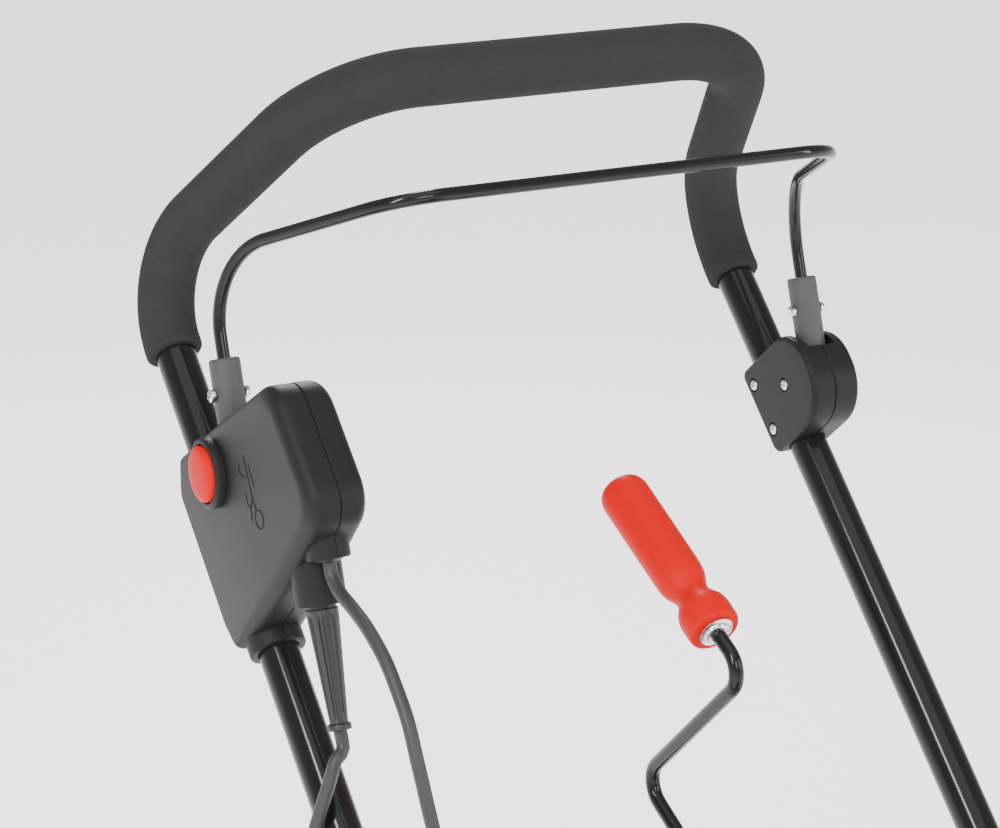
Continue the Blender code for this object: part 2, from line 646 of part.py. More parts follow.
def fold_knob(name, side):
    """A star knob on the fold bolt, outside the upper tube."""
    start = TUBE_X + TUBE_R + 0.0008
    out = frame_matrix(on_tube(FOLD_S, 0, side * start), (side, 0, 0), (0, 0, 1))
    length = KNOB_END_X - start
    knob = turned(f"fold_knob_{name}",
                  [(0, length), (0.0120, length), (0.0180, length - 0.0030), (0.0190, length - 0.0120),
                   (0.0110, 0.0140), (0.0100, 0.0), (0.0034, 0.0), (0.0034, 0.0200), (0, 0.0200)],
                  BLACK_PLASTIC, out, 20)
    for k in range(5):
        a = 2 * math.pi * k / 5
        flute = cylinder(f"cut_knob_{name}_{k}", 0.0060, 0.040, None,
                         out @ Matrix.Translation((0.0225 * math.cos(a), 0.0225 * math.sin(a), 0.012)), 8, True)
        cut(knob, flute)


# ---------------------------------------------------------------- auger housing
def d_profile(wall):
    """Side outline of the housing in (y, z), moved in by wall; it stays open towards the front."""
    front = HOUSING_FRONT - (0.05 if wall else 0)
    return rounded([(front, HOUSING_LOW + wall, 0), (HOUSING_BACK - wall, HOUSING_LOW + wall, 0.090 - wall),
                    (HOUSING_BACK - wall, HOUSING_TOP - wall, 0.090 - wall), (front, HOUSING_TOP - wall, 0)], 6)


def auger_housing():
    half = HOUSING_W / 2
    housing = put("auger_housing", flat(d_profile(0), -half, half), DARK_PLASTIC, PROFILE_FRAME)
    cut(housing, put("cut_housing", flat(d_profile(HOUSING_WALL), -half + HOUSING_WALL, half - HOUSING_WALL), None,
                     PROFILE_FRAME, True))
    nose = [(HOUSING_FRONT - 0.01, HOUSING_LOW - 0.01), (-0.490, HOUSING_LOW - 0.01), (HOUSING_FRONT - 0.01, 0.230)]
    cut(housing, put("cut_nose", flat(nose, -0.3, 0.3), None, PROFILE_FRAME, True))
    cut(housing, cylinder("cut_chute_hole", 0.0666, 0.10, None, Matrix.Translation((0, CHUTE_Y, 0.25)), 24, True))
    for side in (-1, 1):
        start = Vector((side * (half - 0.010), AUGER_Y, AUGER_Z))
        cut(housing, cylinder(f"cut_bearing_{side}", 0.0165, 0.02, None, frame_matrix(start, (side, 0, 0), (0, 0, 1)), 20, True))
    bar = put("scraper_bar", box_mesh((-half + 0.005, -0.512, 0.0), (half - 0.005, -0.440, HOUSING_LOW - GAP)), STEEL)
    soften(bar, 0.0020, 1)


def auger():
    half = HOUSING_W / 2
    axle = Vector((-half - 0.012, AUGER_Y, AUGER_Z))
    along = frame_matrix(axle, (1, 0, 0), (0, 0, 1))
    cylinder("auger_shaft", SHAFT_R, 2 * half + 0.024 + 0.012, STEEL, along, 16, edge=0.0010)
    for side, name in ((-1, "right"), (1, "left")):
        place = frame_matrix(Vector((side * (half - HOUSING_WALL - 0.004), AUGER_Y, AUGER_Z)), (side, 0, 0), (0, 0, 1))
        turned(f"auger_bearing_{name}",
               [(SHAFT_R + GAP, 0.0100), (0.0162, 0.0100), (0.0162, 0.0036), (0.0200, 0.0036), (0.0200, 0.0),
                (SHAFT_R + GAP, 0.0)], STEEL, place, 20)
    rotor()


def helix_plate(name, x0, x1, hand):
    """One flight: a helical ribbon about the auger's axis, made by a screwed radial edge with thickness."""
    mesh = bpy.data.meshes.new(name)
    bm = bmesh.new()
    inner = bm.verts.new((0.0150, 0, 0))
    outer = bm.verts.new((AUGER_R, 0, 0))
    bm.edges.new((inner, outer))
    bm.to_mesh(mesh)
    bm.free()
    flight = put(name, mesh, None, frame_matrix(Vector((x0, AUGER_Y, AUGER_Z)), (1, 0, 0), (0, 0, 1)), True)
    screw = flight.modifiers.new("Screw", "SCREW")
    screw.angle = hand * math.radians(400)
    screw.screw_offset = x1 - x0
    screw.steps = 18
    screw.render_steps = 18
    screw.use_merge_vertices = False
    solid = flight.modifiers.new("Solidify", "SOLIDIFY")
    solid.thickness = 0.004
    solid.offset = 0
    return flight


def rotor():
    """The auger: a hub tube on the shaft, a flight each side and a straight thrower in the middle."""
    half = HOUSING_W / 2 - HOUSING_WALL - 0.012
    place = frame_matrix(Vector((-half, AUGER_Y, AUGER_Z)), (1, 0, 0), (0, 0, 1))
    hub = cylinder("auger_rotor", 0.0180, 2 * half, BLACK_RUBBER, place, 20)
    cut(hub, helix_plate("cut_flight_right", -half + 0.004, -0.052, 1), operation="UNION")
    cut(hub, helix_plate("cut_flight_left", 0.052, half - 0.004, -1), operation="UNION")
    thrower = put("cut_thrower", box_mesh((-0.060, -0.0030, -AUGER_R), (0.060, 0.0030, AUGER_R)), None,
                  Matrix.Translation((0, AUGER_Y, AUGER_Z)), True)
    cut(hub, thrower, operation="UNION")
    cut(hub, cylinder("cut_rotor_bore", SHAFT_R + GAP, 2 * half + 0.02, None,
                      place @ Matrix.Translation((0, 0, -0.01)), 20, True))


# ---------------------------------------------------------------- motor and belt drive
def pulley(name, radius, bore, y, z, mat):
    place = frame_matrix(Vector((BELT_X - 0.0060, y, z)), (1, 0, 0), (0, 0, 1))
    return turned(name, [(bore, 0.0120), (radius + 0.0030, 0.0120), (radius + 0.0030, 0.0105), (radius, 0.0092),
                         (radius, 0.0028), (radius + 0.0030, 0.0015), (radius + 0.0030, 0.0), (bore, 0.0)],
                  mat, place, 24)


def belt_outline(extra):
    """The loop round both pulleys, in (y, z), standing off their rims by extra."""
    return hull_of_circles(Vector((AUGER_Y, AUGER_Z)), AUGER_PULLEY_R + extra,
                           Vector((MOTOR_Y, MOTOR_Z)), MOTOR_PULLEY_R + extra)


def drive():
    pulley("auger_pulley", AUGER_PULLEY_R, SHAFT_R + GAP, AUGER_Y, AUGER_Z, BLACK_PLASTIC)
    wheel = pulley("motor_pulley", MOTOR_PULLEY_R, 0.0, MOTOR_Y, MOTOR_Z, STEEL)
    shaft_start = 0.152
    shaft = cylinder("cut_motor_shaft", 0.0050, BELT_X - shaft_start, None,
                     frame_matrix(Vector((shaft_start, MOTOR_Y, MOTOR_Z)), (1, 0, 0), (0, 0, 1)), 12, True)
    cut(wheel, shaft, operation="UNION")
    belt = flat(belt_outline(0.0034), -0.0028, 0.0028, [belt_outline(0.0006)])
    put("drive_belt", belt, BLACK_RUBBER, Matrix.Translation((BELT_X, 0, 0)) @ PROFILE_FRAME)
    start, end = HOUSING_W / 2 + GAP, KNOB_END_X - 0.0010
    place = PROFILE_FRAME
    cover = put("belt_cover", flat(belt_outline(0.0130), start, end), DARK_PLASTIC, place)
    soften(cover, 0.0050, 1, 60)
    cut(cover, put("cut_cover", flat(belt_outline(0.0100), start - 0.01, end - 0.0030), None, place, True))
    tail = put("cut_cover_tail", flat([(p[0] + 0.012, p[1]) for p in belt_outline(0.0)], start - 0.01, start + 0.0005),
               None, place, True)
    cut(cover, tail)
    motor = cylinder("motor", MOTOR_R, 0.170, ALLOY, frame_matrix(Vector((-0.030, MOTOR_Y, MOTOR_Z)), (1, 0, 0), (0, 0, 1)),
                     20, edge=0.004)
    cut(motor, cylinder("cut_motor_nose", 0.0060, 0.030, None,
                        frame_matrix(Vector((0.135, MOTOR_Y, MOTOR_Z)), (1, 0, 0), (0, 0, 1)), 12, True))


def rear_frame():
    """The pan behind the auger housing that carries the motor, the axle and the lower handle."""
    half = LOWER_X - TUBE_R - 0.0010
    outline = rounded([(HOUSING_BACK + GAP, 0.060, 0), (-0.060, 0.060, 0.030), (-0.045, FRAME_TOP_Z, 0.020),
                       (-0.130, 0.200, 0.020), (HOUSING_BACK + GAP, 0.215, 0)], 4)
    frame = put("rear_frame", flat(outline, -half, half), DARK_PLASTIC, PROFILE_FRAME)
    room = rounded([(HOUSING_BACK - 0.02, 0.064, 0), (-0.063, 0.064, 0.027), (-0.040, FRAME_TOP_Z + 0.1, 0),
                    (HOUSING_BACK - 0.02, 0.300, 0)], 4)
    cut(frame, put("cut_frame_room", flat(room, -half + 0.004, half - 0.004), None, PROFILE_FRAME, True))
    cut(frame, cylinder("cut_frame_axle", AXLE_R + GAP, 0.5, None,
                        frame_matrix(Vector((-0.25, AXLE_Y, WHEEL_R)), (1, 0, 0), (0, 0, 1)), 16, True))


def motor_cover():
    """The hood over the motor: a rounded shell that is open underneath."""
    half = LOWER_X - TUBE_R - 0.0060
    outline = rounded([(HOUSING_BACK + 0.0006, 0.2160, 0), (-0.131, 0.2012, 0), (-0.062, 0.1750, 0), (-0.070, 0.2500, 0.030),
                       (-0.120, 0.3260, 0.045), (HOUSING_BACK + 0.0006, 0.3260, 0.020)], 4)
    hood = put("motor_cover", flat(outline, -half, half), RED_PLASTIC, PROFILE_FRAME)
    soften(hood, 0.0080, 2, 50)
    room = rounded([(HOUSING_BACK + 0.0040, 0.1500, 0), (-0.066, 0.1500, 0), (-0.073, 0.2490, 0.027),
                    (-0.121, 0.3230, 0.042), (HOUSING_BACK + 0.0040, 0.3230, 0.017)], 4)
    cut(hood, put("cut_hood_room", flat(room, -half + 0.003, half - 0.003), None, PROFILE_FRAME, True))
    cut(hood, cylinder("cut_hood_shaft", 0.0075, 0.06, None,
                       frame_matrix(Vector((0.130, MOTOR_Y, MOTOR_Z)), (1, 0, 0), (0, 0, 1)), 16, True))
    cut(hood, cylinder("cut_hood_cable", CABLE_R + 0.0028, 0.06, None,
                       frame_matrix(MOTOR_ENTRY + Vector((0.03, 0, 0)), (-1, 0, 0), (0, 0, 1)), 12, True))


# ---------------------------------------------------------------- wheels
def wheels():
    cylinder("axle", AXLE_R, 2 * 0.2400, STEEL, frame_matrix(Vector((-0.2400, AXLE_Y, WHEEL_R)), (1, 0, 0), (0, 0, 1)),
             16, edge=0.0010)
    for side, name in ((-1, "right"), (1, "left")):
        place = frame_matrix(Vector((side * WHEEL_X, AXLE_Y, WHEEL_R)), (side, 0, 0), (0, 0, 1))
        w = WHEEL_W / 2
        turned(f"tyre_{name}", [(0.0690, w), (0.0800, w), (0.0880, w - 0.005), (WHEEL_R, w - 0.010), (WHEEL_R, -w + 0.010),
                                (0.0880, -w + 0.005), (0.0800, -w), (0.0690, -w)], BLACK_RUBBER, place, 24)
        rim = 0.0684
        turned(f"wheel_rim_{name}", [(AXLE_R + GAP, w - 0.001), (0.0180, w - 0.001), (0.0200, w - 0.010), (0.0580, w - 0.012),
                                     (0.0630, w - 0.001), (rim, w - 0.001), (rim, -w + 0.001), (0.0630, -w + 0.001),
                                     (0.0590, -w + 0.014), (0.0180, -w + 0.014), (0.0160, -w + 0.001),
                                     (AXLE_R + GAP, -w + 0.001)], DARK_PLASTIC, place, 24)


# ---------------------------------------------------------------- chute
COLLAR_OUT = 0.0660
CHUTE_IN = 0.0676
CHUTE_OUT = 0.0706
HINGE_Y = CHUTE_Y + 0.0745
HINGE_Z = 0.575


def half_pipe(name, sections, wall, mat, matrix, cutter=False):
    """A channel that is open to the front, lofted through (centre y, z, radius, lean, wrap) sections and given a wall."""
    sides = 12
    bm = bmesh.new()
    rows = []
    for y, z, radius, lean, wrap in sections:
        row = []
        for k in range(sides + 1):
            a = math.radians(90 - wrap + 2 * wrap * k / sides)
            across, back = radius * math.cos(a), radius * math.sin(a)
            row.append(bm.verts.new((across, y + back * math.cos(lean), z + back * math.sin(lean))))
        rows.append(row)
    for low, high in zip(rows, rows[1:]):
        for k in range(sides):
            bm.faces.new((low[k], high[k], high[k + 1], low[k + 1]))
    mesh = bpy.data.meshes.new(name)
    bm.to_mesh(mesh)
    bm.free()
    obj = put(name, mesh, mat, matrix, cutter, 60)
    solid = obj.modifiers.new("Solidify", "SOLIDIFY")
    solid.thickness = wall
    solid.offset = -1
    return obj


def chute():
    place = Matrix.Translation((0, CHUTE_Y, 0))
    turned("chute_collar", [(0.0620, 0.3500), (COLLAR_OUT, 0.3500), (COLLAR_OUT, HOUSING_TOP + 0.0043),
                            (0.0860, HOUSING_TOP + 0.0043), (0.0860, HOUSING_TOP + GAP), (COLLAR_OUT, HOUSING_TOP + GAP),
                            (COLLAR_OUT, 0.2720), (0.0620, 0.2720)], DARK_PLASTIC, place, 24)
    base = turned("chute", [(CHUTE_IN, 0.3560), (CHUTE_OUT, 0.3560), (CHUTE_OUT, 0.3080), (CHUTE_IN, 0.3080)],
                  DARK_PLASTIC, place, 24)
    rim = flat(toothed(RING_R - 0.0100, RING_R + 0.0060, RING_TEETH, 0.0045, 0.5), RING_TOP - 0.0060, RING_TOP,
               [circle(CHUTE_OUT - 0.0014, 24)])
    turn = Matrix.Rotation(math.radians(90), 4, "Z")
    cut(base, put("cut_ring", rim, None, place @ turn, True), operation="UNION")
    shell = half_pipe("cut_chute_shell", [(0, 0.3512, CHUTE_IN + 0.0006, 0, 100), (0, 0.4300, 0.0650, 0.05, 100),
                                          (-0.004, 0.5000, 0.0630, 0.15, 100), (-0.014, 0.5620, 0.0620, 0.30, 100)],
                      0.0030, None, place, True)
    cut(base, shell, operation="UNION")
    ear = cylinder("cut_chute_ear", 0.0080, 0.0440, None,
                   frame_matrix(Vector((-0.0220, HINGE_Y, HINGE_Z)), (1, 0, 0), (0, 0, 1)), 16, True)
    web = put("cut_chute_web", box_mesh((-0.0220, HINGE_Y - 0.0310, HINGE_Z - 0.0260), (0.0220, HINGE_Y - 0.0010, HINGE_Z - 0.0040)),
              None, None, True)
    cut(base, ear, operation="UNION")
    cut(base, web, operation="UNION")
    cut(base, cylinder("cut_chute_pin", 0.0033, 0.10, None,
                       frame_matrix(Vector((-0.05, HINGE_Y, HINGE_Z)), (1, 0, 0), (0, 0, 1)), 12, True))


def deflector():
    place = Matrix.Translation((0, CHUTE_Y, 0))
    shell = half_pipe("chute_deflector", [(-0.018, 0.5830, 0.0700, 0.32, 98), (-0.040, 0.6280, 0.0690, 0.62, 98),
                                          (-0.074, 0.6560, 0.0680, 0.95, 98)], 0.0030, DARK_PLASTIC, place)
    for side in (-1, 1):
        x = sorted((side * 0.0228, side * 0.0300))
        ear = cylinder(f"cut_deflector_ear_{side}", 0.0080, 0.0072, None,
                       frame_matrix(Vector((x[0], HINGE_Y, HINGE_Z)), (1, 0, 0), (0, 0, 1)), 16, True)
        web = put(f"cut_deflector_web_{side}", box_mesh((x[0], HINGE_Y - 0.0244, HINGE_Z + 0.0020),
                                                        (x[1], HINGE_Y + 0.0060, HINGE_Z + 0.0450)), None, None, True)
        root = put(f"cut_deflector_root_{side}", box_mesh((x[0] + 0.001, HINGE_Y - 0.0340, HINGE_Z + 0.0320),
                                                          (x[1] - 0.001, HINGE_Y - 0.0100, HINGE_Z + 0.0440)), None, None, True)
        for added in (ear, web, root):
            cut(shell, added, operation="UNION")
    cut(shell, cylinder("cut_deflector_pin", 0.0033, 0.10, None,
                        frame_matrix(Vector((-0.05, HINGE_Y, HINGE_Z)), (1, 0, 0), (0, 0, 1)), 12, True))
    pin = frame_matrix(Vector((-0.0320, HINGE_Y, HINGE_Z)), (1, 0, 0), (0, 0, 1))
    turned("deflector_pin", [(0, 0.0680), (0.0055, 0.0680), (0.0055, 0.0640), (0.0030, 0.0640), (0.0030, 0.0), (0, 0)],
           ZINC, pin, 12)


# ---------------------------------------------------------------- cables
MOTOR_ENTRY = Vector((-0.1500, -0.1200, 0.2900))
CLIP_S = 0.6000
CLIP_D = 0.0210
# routes beside the tube as (s, d, x)
SUPPLY_CORD_BY_TUBE = [
    (0.3600, 0.0400, -0.2110), (0.3690, 0.0300, -0.2150), (0.3790, 0.0170, -0.2195), (0.3900, 0.0030, -0.2240),
    (0.4030, -0.0090, -0.2265),
]
MOTOR_CABLE_BY_TUBE = [
    (0.2860, 0.1060, -0.2046), (0.3010, 0.1150, -0.2046), (0.3191, 0.1245, -0.2046), (0.3421, 0.1318, -0.2046), (0.3611, 0.1331, -0.2046),
    (0.3801, 0.1324, -0.2046), (0.4003, 0.1268, -0.2046), (0.4157, 0.1211, -0.2040), (0.4344, 0.1136, -0.2030),
    (0.4700, 0.0970, -0.1990), (0.5100, 0.0740, -0.1910), (0.5450, 0.0470, -0.1840), (0.5700, 0.0280, -0.1790),
    (0.5860, 0.0215, -0.1778), (0.6000, 0.0210, -0.1778), (0.6140, 0.0210, -0.1778), (0.6600, 0.0220, -0.1778),
    (0.7400, 0.0225, -0.1778), (0.8200, 0.0225, -0.1778), (0.8750, 0.0230, -0.1778),
]


def cables():
    drop = [on_tube(at, off, x) for at, off, x in SUPPLY_CORD_BY_TUBE]
    hang = [SUPPLY_EXIT + HANGING * GAP, SUPPLY_EXIT + HANGING * 0.012, *drop,
            (-0.2270, 0.2720, 0.5900), (-0.2275, 0.2730, 0.5500), (-0.2275, 0.2730, 0.5000), (-0.2275, 0.2730, 0.4500)]
    put("supply_cord", sweep(smooth_route(hang, 0.012), CABLE_R, 2), CABLE_RUBBER)
    plug = Matrix.Translation(Vector(hang[-1]) - Vector((0, 0, GAP))) @ Matrix.Rotation(math.pi, 4, "X")
    body = turned("supply_plug", [(0, 0.0520), (0.0165, 0.0520), (0.0180, 0.0500), (0.0180, 0.0330), (0.0140, 0.0260),
                                  (0.0110, 0.0200), (0.0065, 0.0030), (0.0060, 0.0), (0, 0.0)], BLACK_RUBBER, plug, 24)
    for side in (-1, 1):
        pin = cylinder(f"cut_plug_pin_{side}", 0.0024, 0.0230, None, plug @ Matrix.Translation((side * 0.0095, 0, 0.0480)), 12, True)
        cut(body, pin, operation="UNION")
    run = [MOTOR_EXIT + HANGING * GAP, MOTOR_EXIT + HANGING * 0.007, *[on_tube(s, d, x) for s, d, x in MOTOR_CABLE_BY_TUBE],
           MOTOR_ENTRY - Vector((0.0220, 0, 0)), MOTOR_ENTRY - Vector((0.0120, 0, 0)), MOTOR_ENTRY]
    put("motor_cable", sweep(smooth_route(run, 0.014), CABLE_R, 2), CABLE_RUBBER)
    band = hull_of_circles(Vector((0, 0)), TUBE_R + 0.0035, Vector((CLIP_D, 0)), CABLE_R + 0.0044, 12)
    holes = [circle(TUBE_R + GAP, 16), circle(CABLE_R + 0.0022, 10, (CLIP_D, 0))]
    put("cable_clip", flat(band, -0.0060, 0.0060, holes), BLACK_PLASTIC,
        frame_matrix(on_tube(CLIP_S, 0, -LOWER_X), (0, -COS, -SIN), (0, -SIN, COS)))


# ---------------------------------------------------------------- run
handle()
switch_box()
safety_button()
SUPPLY_EXIT, MOTOR_EXIT = cable_exits()
bail()
clamp_bracket()
bracket_screws()
crank()
crank_pinion()
crank_eye()
lower_handle()
auger_housing()
auger()
drive()
rear_frame()
motor_cover()
wheels()
chute()
deflector()
cables()
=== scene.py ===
"""Looks for the electric snow thrower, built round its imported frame."""

import json
import math

import bmesh
import bpy
from mathutils import Matrix, Vector

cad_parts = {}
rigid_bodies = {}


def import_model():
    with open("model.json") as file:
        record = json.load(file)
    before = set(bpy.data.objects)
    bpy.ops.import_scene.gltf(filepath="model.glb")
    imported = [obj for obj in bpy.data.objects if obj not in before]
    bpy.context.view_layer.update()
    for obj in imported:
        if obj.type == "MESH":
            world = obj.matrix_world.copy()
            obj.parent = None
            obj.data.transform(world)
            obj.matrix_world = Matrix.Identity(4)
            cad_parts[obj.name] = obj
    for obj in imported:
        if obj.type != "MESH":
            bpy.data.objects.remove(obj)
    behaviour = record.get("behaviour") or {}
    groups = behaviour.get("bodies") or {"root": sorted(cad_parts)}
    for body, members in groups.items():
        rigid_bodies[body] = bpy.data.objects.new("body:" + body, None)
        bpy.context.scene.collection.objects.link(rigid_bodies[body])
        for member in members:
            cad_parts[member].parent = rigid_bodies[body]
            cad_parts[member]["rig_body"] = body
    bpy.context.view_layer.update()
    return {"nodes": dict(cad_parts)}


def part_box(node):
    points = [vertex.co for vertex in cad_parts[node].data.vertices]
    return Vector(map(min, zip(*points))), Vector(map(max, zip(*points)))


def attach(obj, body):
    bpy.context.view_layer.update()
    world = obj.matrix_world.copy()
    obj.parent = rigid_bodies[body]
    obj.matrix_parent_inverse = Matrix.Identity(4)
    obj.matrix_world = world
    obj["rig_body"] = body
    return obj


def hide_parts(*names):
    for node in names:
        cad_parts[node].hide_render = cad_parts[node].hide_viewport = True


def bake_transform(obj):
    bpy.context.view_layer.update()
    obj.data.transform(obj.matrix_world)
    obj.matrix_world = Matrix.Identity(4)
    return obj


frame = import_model()
NODES = frame["nodes"]

# ---------------------------------------------------------------- driving dimensions, in metres
KNEE = Vector((0, 0.548, 0.920))
SLOPE = math.radians(44.8)
COS, SIN = math.cos(SLOPE), math.sin(SLOPE)
TUBE_X = 0.2046
TUBE_R = 0.0125
TUBE_LIP = 0.0015   # how much a tube's cut end is chamfered
FOAM_R = 0.0178
FOAM_END = 0.065
LOOP_CORNER = Vector((0.144, -0.1502, 0.1334))
KNEE_BEND_R = 0.0570
CORNER_BEND_R = 0.0750
UPPER_TUBE_END = 0.548
GAP = 0.0003
HANGING = Vector((0, -0.311, -0.950)).normalized()
DOWN_TUBE = Vector((0, -COS, -SIN))
X_AXIS = Vector((1, 0, 0))
Z_AXIS = Vector((0, 0, 1))

CABLE_R = 0.004
BAIL_R = 0.004
BAIL_X = 0.2055
BAIL_PIVOT = (0.1755, 0.0330)
SOCKET_TOP = (0.1088, 0.0673)
SOCKET_R = 0.0095

CRANK_LOW = KNEE + Vector((0, -0.2723, -0.2845))
CRANK_TOP = KNEE + Vector((0, -0.3823, -0.1798))
CRANK_TILT = math.radians(26.5)
CRANK_DIR = Vector((0, math.cos(CRANK_TILT), math.sin(CRANK_TILT)))
CRANK_R = 0.0045
GRIP_START = 0.0370
GRIP_LENGTH = 0.1225

BOX_OUTLINE = [   # (off the tube, along the tube, corner radius)
    (-0.0020, 0.1345, 0.006), (-0.0200, 0.1520, 0.010), (-0.0200, 0.2420, 0.014), (-0.0150, 0.2620, 0.006),
    (0.0660, 0.2648, 0.030), (0.1520, 0.2590, 0.020), (0.1520, 0.1715, 0.024), (0.0500, 0.1450, 0.030),
]
BESIDE_TUBE = 0.0300   # outline points nearer the tube than this have a smaller chamfer
BOX_OUT = 0.0200
BOX_IN = 0.0175
MOTOR_BOSS_END = (0.2665, 0.1080)
SUPPLY_BOSS_END = (0.2805, 0.0780)
MOTOR_BOSS_R = 0.0128
SUPPLY_BOSS_R = 0.0150
BOSS_BORE = 0.0088
COLLAR_AT = (0.2380, 0.0)
BUTTON_AT = (0.1690, 0.0400)
BUTTON_R = 0.0170
RELIEF_LENGTH = 0.0720
RELIEF_TOP_R = 0.0094
RELIEF_TIP_R = 0.0056
GROMMET_PROUD = 0.0015
PICTOGRAM_AT = (0.2045, 0.0830)
BRACKET_OUTLINE = [
    (-0.0160, 0.1310, 0.005), (-0.0160, 0.1945, 0.006),
    (0.0590, 0.2010, 0.029), (0.0590, 0.1370, 0.029),
]
BRACKET_IN = 0.0170
BRACKET_OUT = 0.0190
BRACKET_SCREWS = [(0.1457, -0.0064), (0.1644, 0.0254), (0.1800, -0.0064)]
SCREW_SINK = 0.0012
LOWER_X = TUBE_X - 2 * TUBE_R - 0.0018
LOWER_START = 0.498
LOWER_END = 1.015
MOTOR_ENTRY = Vector((-0.1500, -0.1200, 0.2900))
# the cords' routes, as (along the tube, off it, x)
SUPPLY_CORD_BY_TUBE = [
    (0.3600, 0.0400, -0.2110), (0.3690, 0.0300, -0.2150), (0.3790, 0.0170, -0.2195),
    (0.3900, 0.0030, -0.2240), (0.4030, -0.0090, -0.2265),
]
MOTOR_CABLE_BY_TUBE = [
    (0.2860, 0.1060, -0.2046), (0.3010, 0.1150, -0.2046), (0.3191, 0.1245, -0.2046),
    (0.3421, 0.1318, -0.2046), (0.3611, 0.1331, -0.2046), (0.3801, 0.1324, -0.2046),
    (0.4003, 0.1268, -0.2046), (0.4157, 0.1211, -0.2040), (0.4344, 0.1136, -0.2030),
    (0.4700, 0.0970, -0.1990), (0.5100, 0.0740, -0.1910), (0.5450, 0.0470, -0.1840),
    (0.5700, 0.0280, -0.1790), (0.5860, 0.0215, -0.1778), (0.6000, 0.0210, -0.1778),
    (0.6140, 0.0210, -0.1778), (0.6600, 0.0220, -0.1778), (0.7400, 0.0225, -0.1778),
    (0.8200, 0.0225, -0.1778), (0.8750, 0.0230, -0.1778),
]
AXLE_Y = -0.100
WHEEL_R = 0.090
WHEEL_X = 0.217
WHEEL_W = 0.036


# ---------------------------------------------------------------- camera
def make_camera():
    data = bpy.data.cameras.new("camera")
    data.lens = 106.77
    data.sensor_width = 36
    data.sensor_fit = "HORIZONTAL"
    data.clip_end = 100
    camera = bpy.data.objects.new("camera", data)
    bpy.context.scene.collection.objects.link(camera)
    camera.location = KNEE + Vector((-0.8669, -1.6924, 0.4508))
    camera.rotation_euler = (math.radians(73.106), 0, math.radians(-28.399))
    bpy.context.scene.camera = camera


# ---------------------------------------------------------------- materials
def material(name, color, roughness, metallic=0.0, grain=0.0, grain_scale=2500, depth=0.0001, coat=0.0,
             mottle=0.06, specular=0.5):
    """A Principled finish with fine surface grain and slight tone variation, both in metres."""
    mat = bpy.data.materials.new(name)
    mat.use_nodes = True
    tree = mat.node_tree
    shader = tree.nodes["Principled BSDF"]
    shader.inputs["Base Color"].default_value = (*color, 1)
    shader.inputs["Roughness"].default_value = roughness
    shader.inputs["Metallic"].default_value = metallic
    shader.inputs["Specular IOR Level"].default_value = specular
    shader.inputs["Coat Weight"].default_value = coat
    shader.inputs["Coat Roughness"].default_value = 0.06
    place = tree.nodes.new("ShaderNodeTexCoord")
    if mottle:
        cloud = tree.nodes.new("ShaderNodeTexNoise")
        cloud.inputs["Scale"].default_value = 60
        cloud.inputs["Detail"].default_value = 4
        tree.links.new(place.outputs["Object"], cloud.inputs["Vector"])
        shade = tree.nodes.new("ShaderNodeMapRange")
        shade.inputs["To Min"].default_value = 1 - mottle
        shade.inputs["To Max"].default_value = 1 + mottle
        tree.links.new(cloud.outputs["Fac"], shade.inputs["Value"])
        tint = tree.nodes.new("ShaderNodeVectorMath")
        tint.operation = "SCALE"
        tint.inputs[0].default_value = color
        tree.links.new(shade.outputs["Result"], tint.inputs["Scale"])
        tree.links.new(tint.outputs["Vector"], shader.inputs["Base Color"])
    if grain:
        noise = tree.nodes.new("ShaderNodeTexNoise")
        noise.inputs["Scale"].default_value = grain_scale
        noise.inputs["Detail"].default_value = 3
        tree.links.new(place.outputs["Object"], noise.inputs["Vector"])
        bump = tree.nodes.new("ShaderNodeBump")
        bump.inputs["Strength"].default_value = grain
        bump.inputs["Distance"].default_value = depth
        tree.links.new(noise.outputs["Fac"], bump.inputs["Height"])
        tree.links.new(bump.outputs["Normal"], shader.inputs["Normal"])
    return mat


BLACK_PAINT = material("black_paint", (0.010, 0.010, 0.0105), 0.13, mottle=0, specular=0.24)
FOAM = material("foam", (0.028, 0.028, 0.0285), 0.95, grain=0.9, grain_scale=900, depth=0.0006,
                mottle=0.10, specular=0.1)
DARK_PLASTIC = material("dark_plastic", (0.0130, 0.0130, 0.0133), 0.46, grain=0.6, grain_scale=2200,
                        depth=0.0002, specular=0.14)
GREY_PLASTIC = material("grey_plastic", (0.058, 0.058, 0.059), 0.52, grain=0.4, depth=0.0002, specular=0.3)
BLACK_PLASTIC = material("black_plastic", (0.012, 0.012, 0.0125), 0.38, grain=0.3, specular=0.4)
# Painted shade: a near-black finish laid in engraved strokes, screw recesses and vent slots, darker than the
# plastic around them.
PAINTED_SHADE = material("painted_recess_shade", (0.006, 0.006, 0.006), 0.70, mottle=0, specular=0.1)
RED_PLASTIC = material("red_plastic", (0.560, 0.0008, 0.0005), 0.42, grain=0.15, mottle=0.02, specular=0.06)
CABLE_RUBBER = material("cable_rubber", (0.034, 0.034, 0.0345), 0.46, grain=0.3, specular=0.35)
BLACK_RUBBER = material("black_rubber", (0.014, 0.014, 0.0145), 0.42, grain=0.4, depth=0.0002, specular=0.5)
TYRE_RUBBER = material("tyre_rubber", (0.014, 0.014, 0.0145), 0.75, grain=0.6, depth=0.0003, specular=0.2)
ZINC = material("zinc", (0.720, 0.720, 0.740), 0.24, 1.0, grain=0.2)
STEEL = material("steel", (0.420, 0.420, 0.430), 0.33, 1.0, grain=0.3)
ALLOY = material("alloy", (0.520, 0.520, 0.530), 0.42, 1.0, grain=0.5, depth=0.0003)


# ---------------------------------------------------------------- geometry helpers
def on_tube(s, d, x=0.0):
    """A point beside the handle's sloping tubes."""
    return Vector((x, KNEE.y - s * COS - d * SIN, KNEE.z - s * SIN + d * COS))


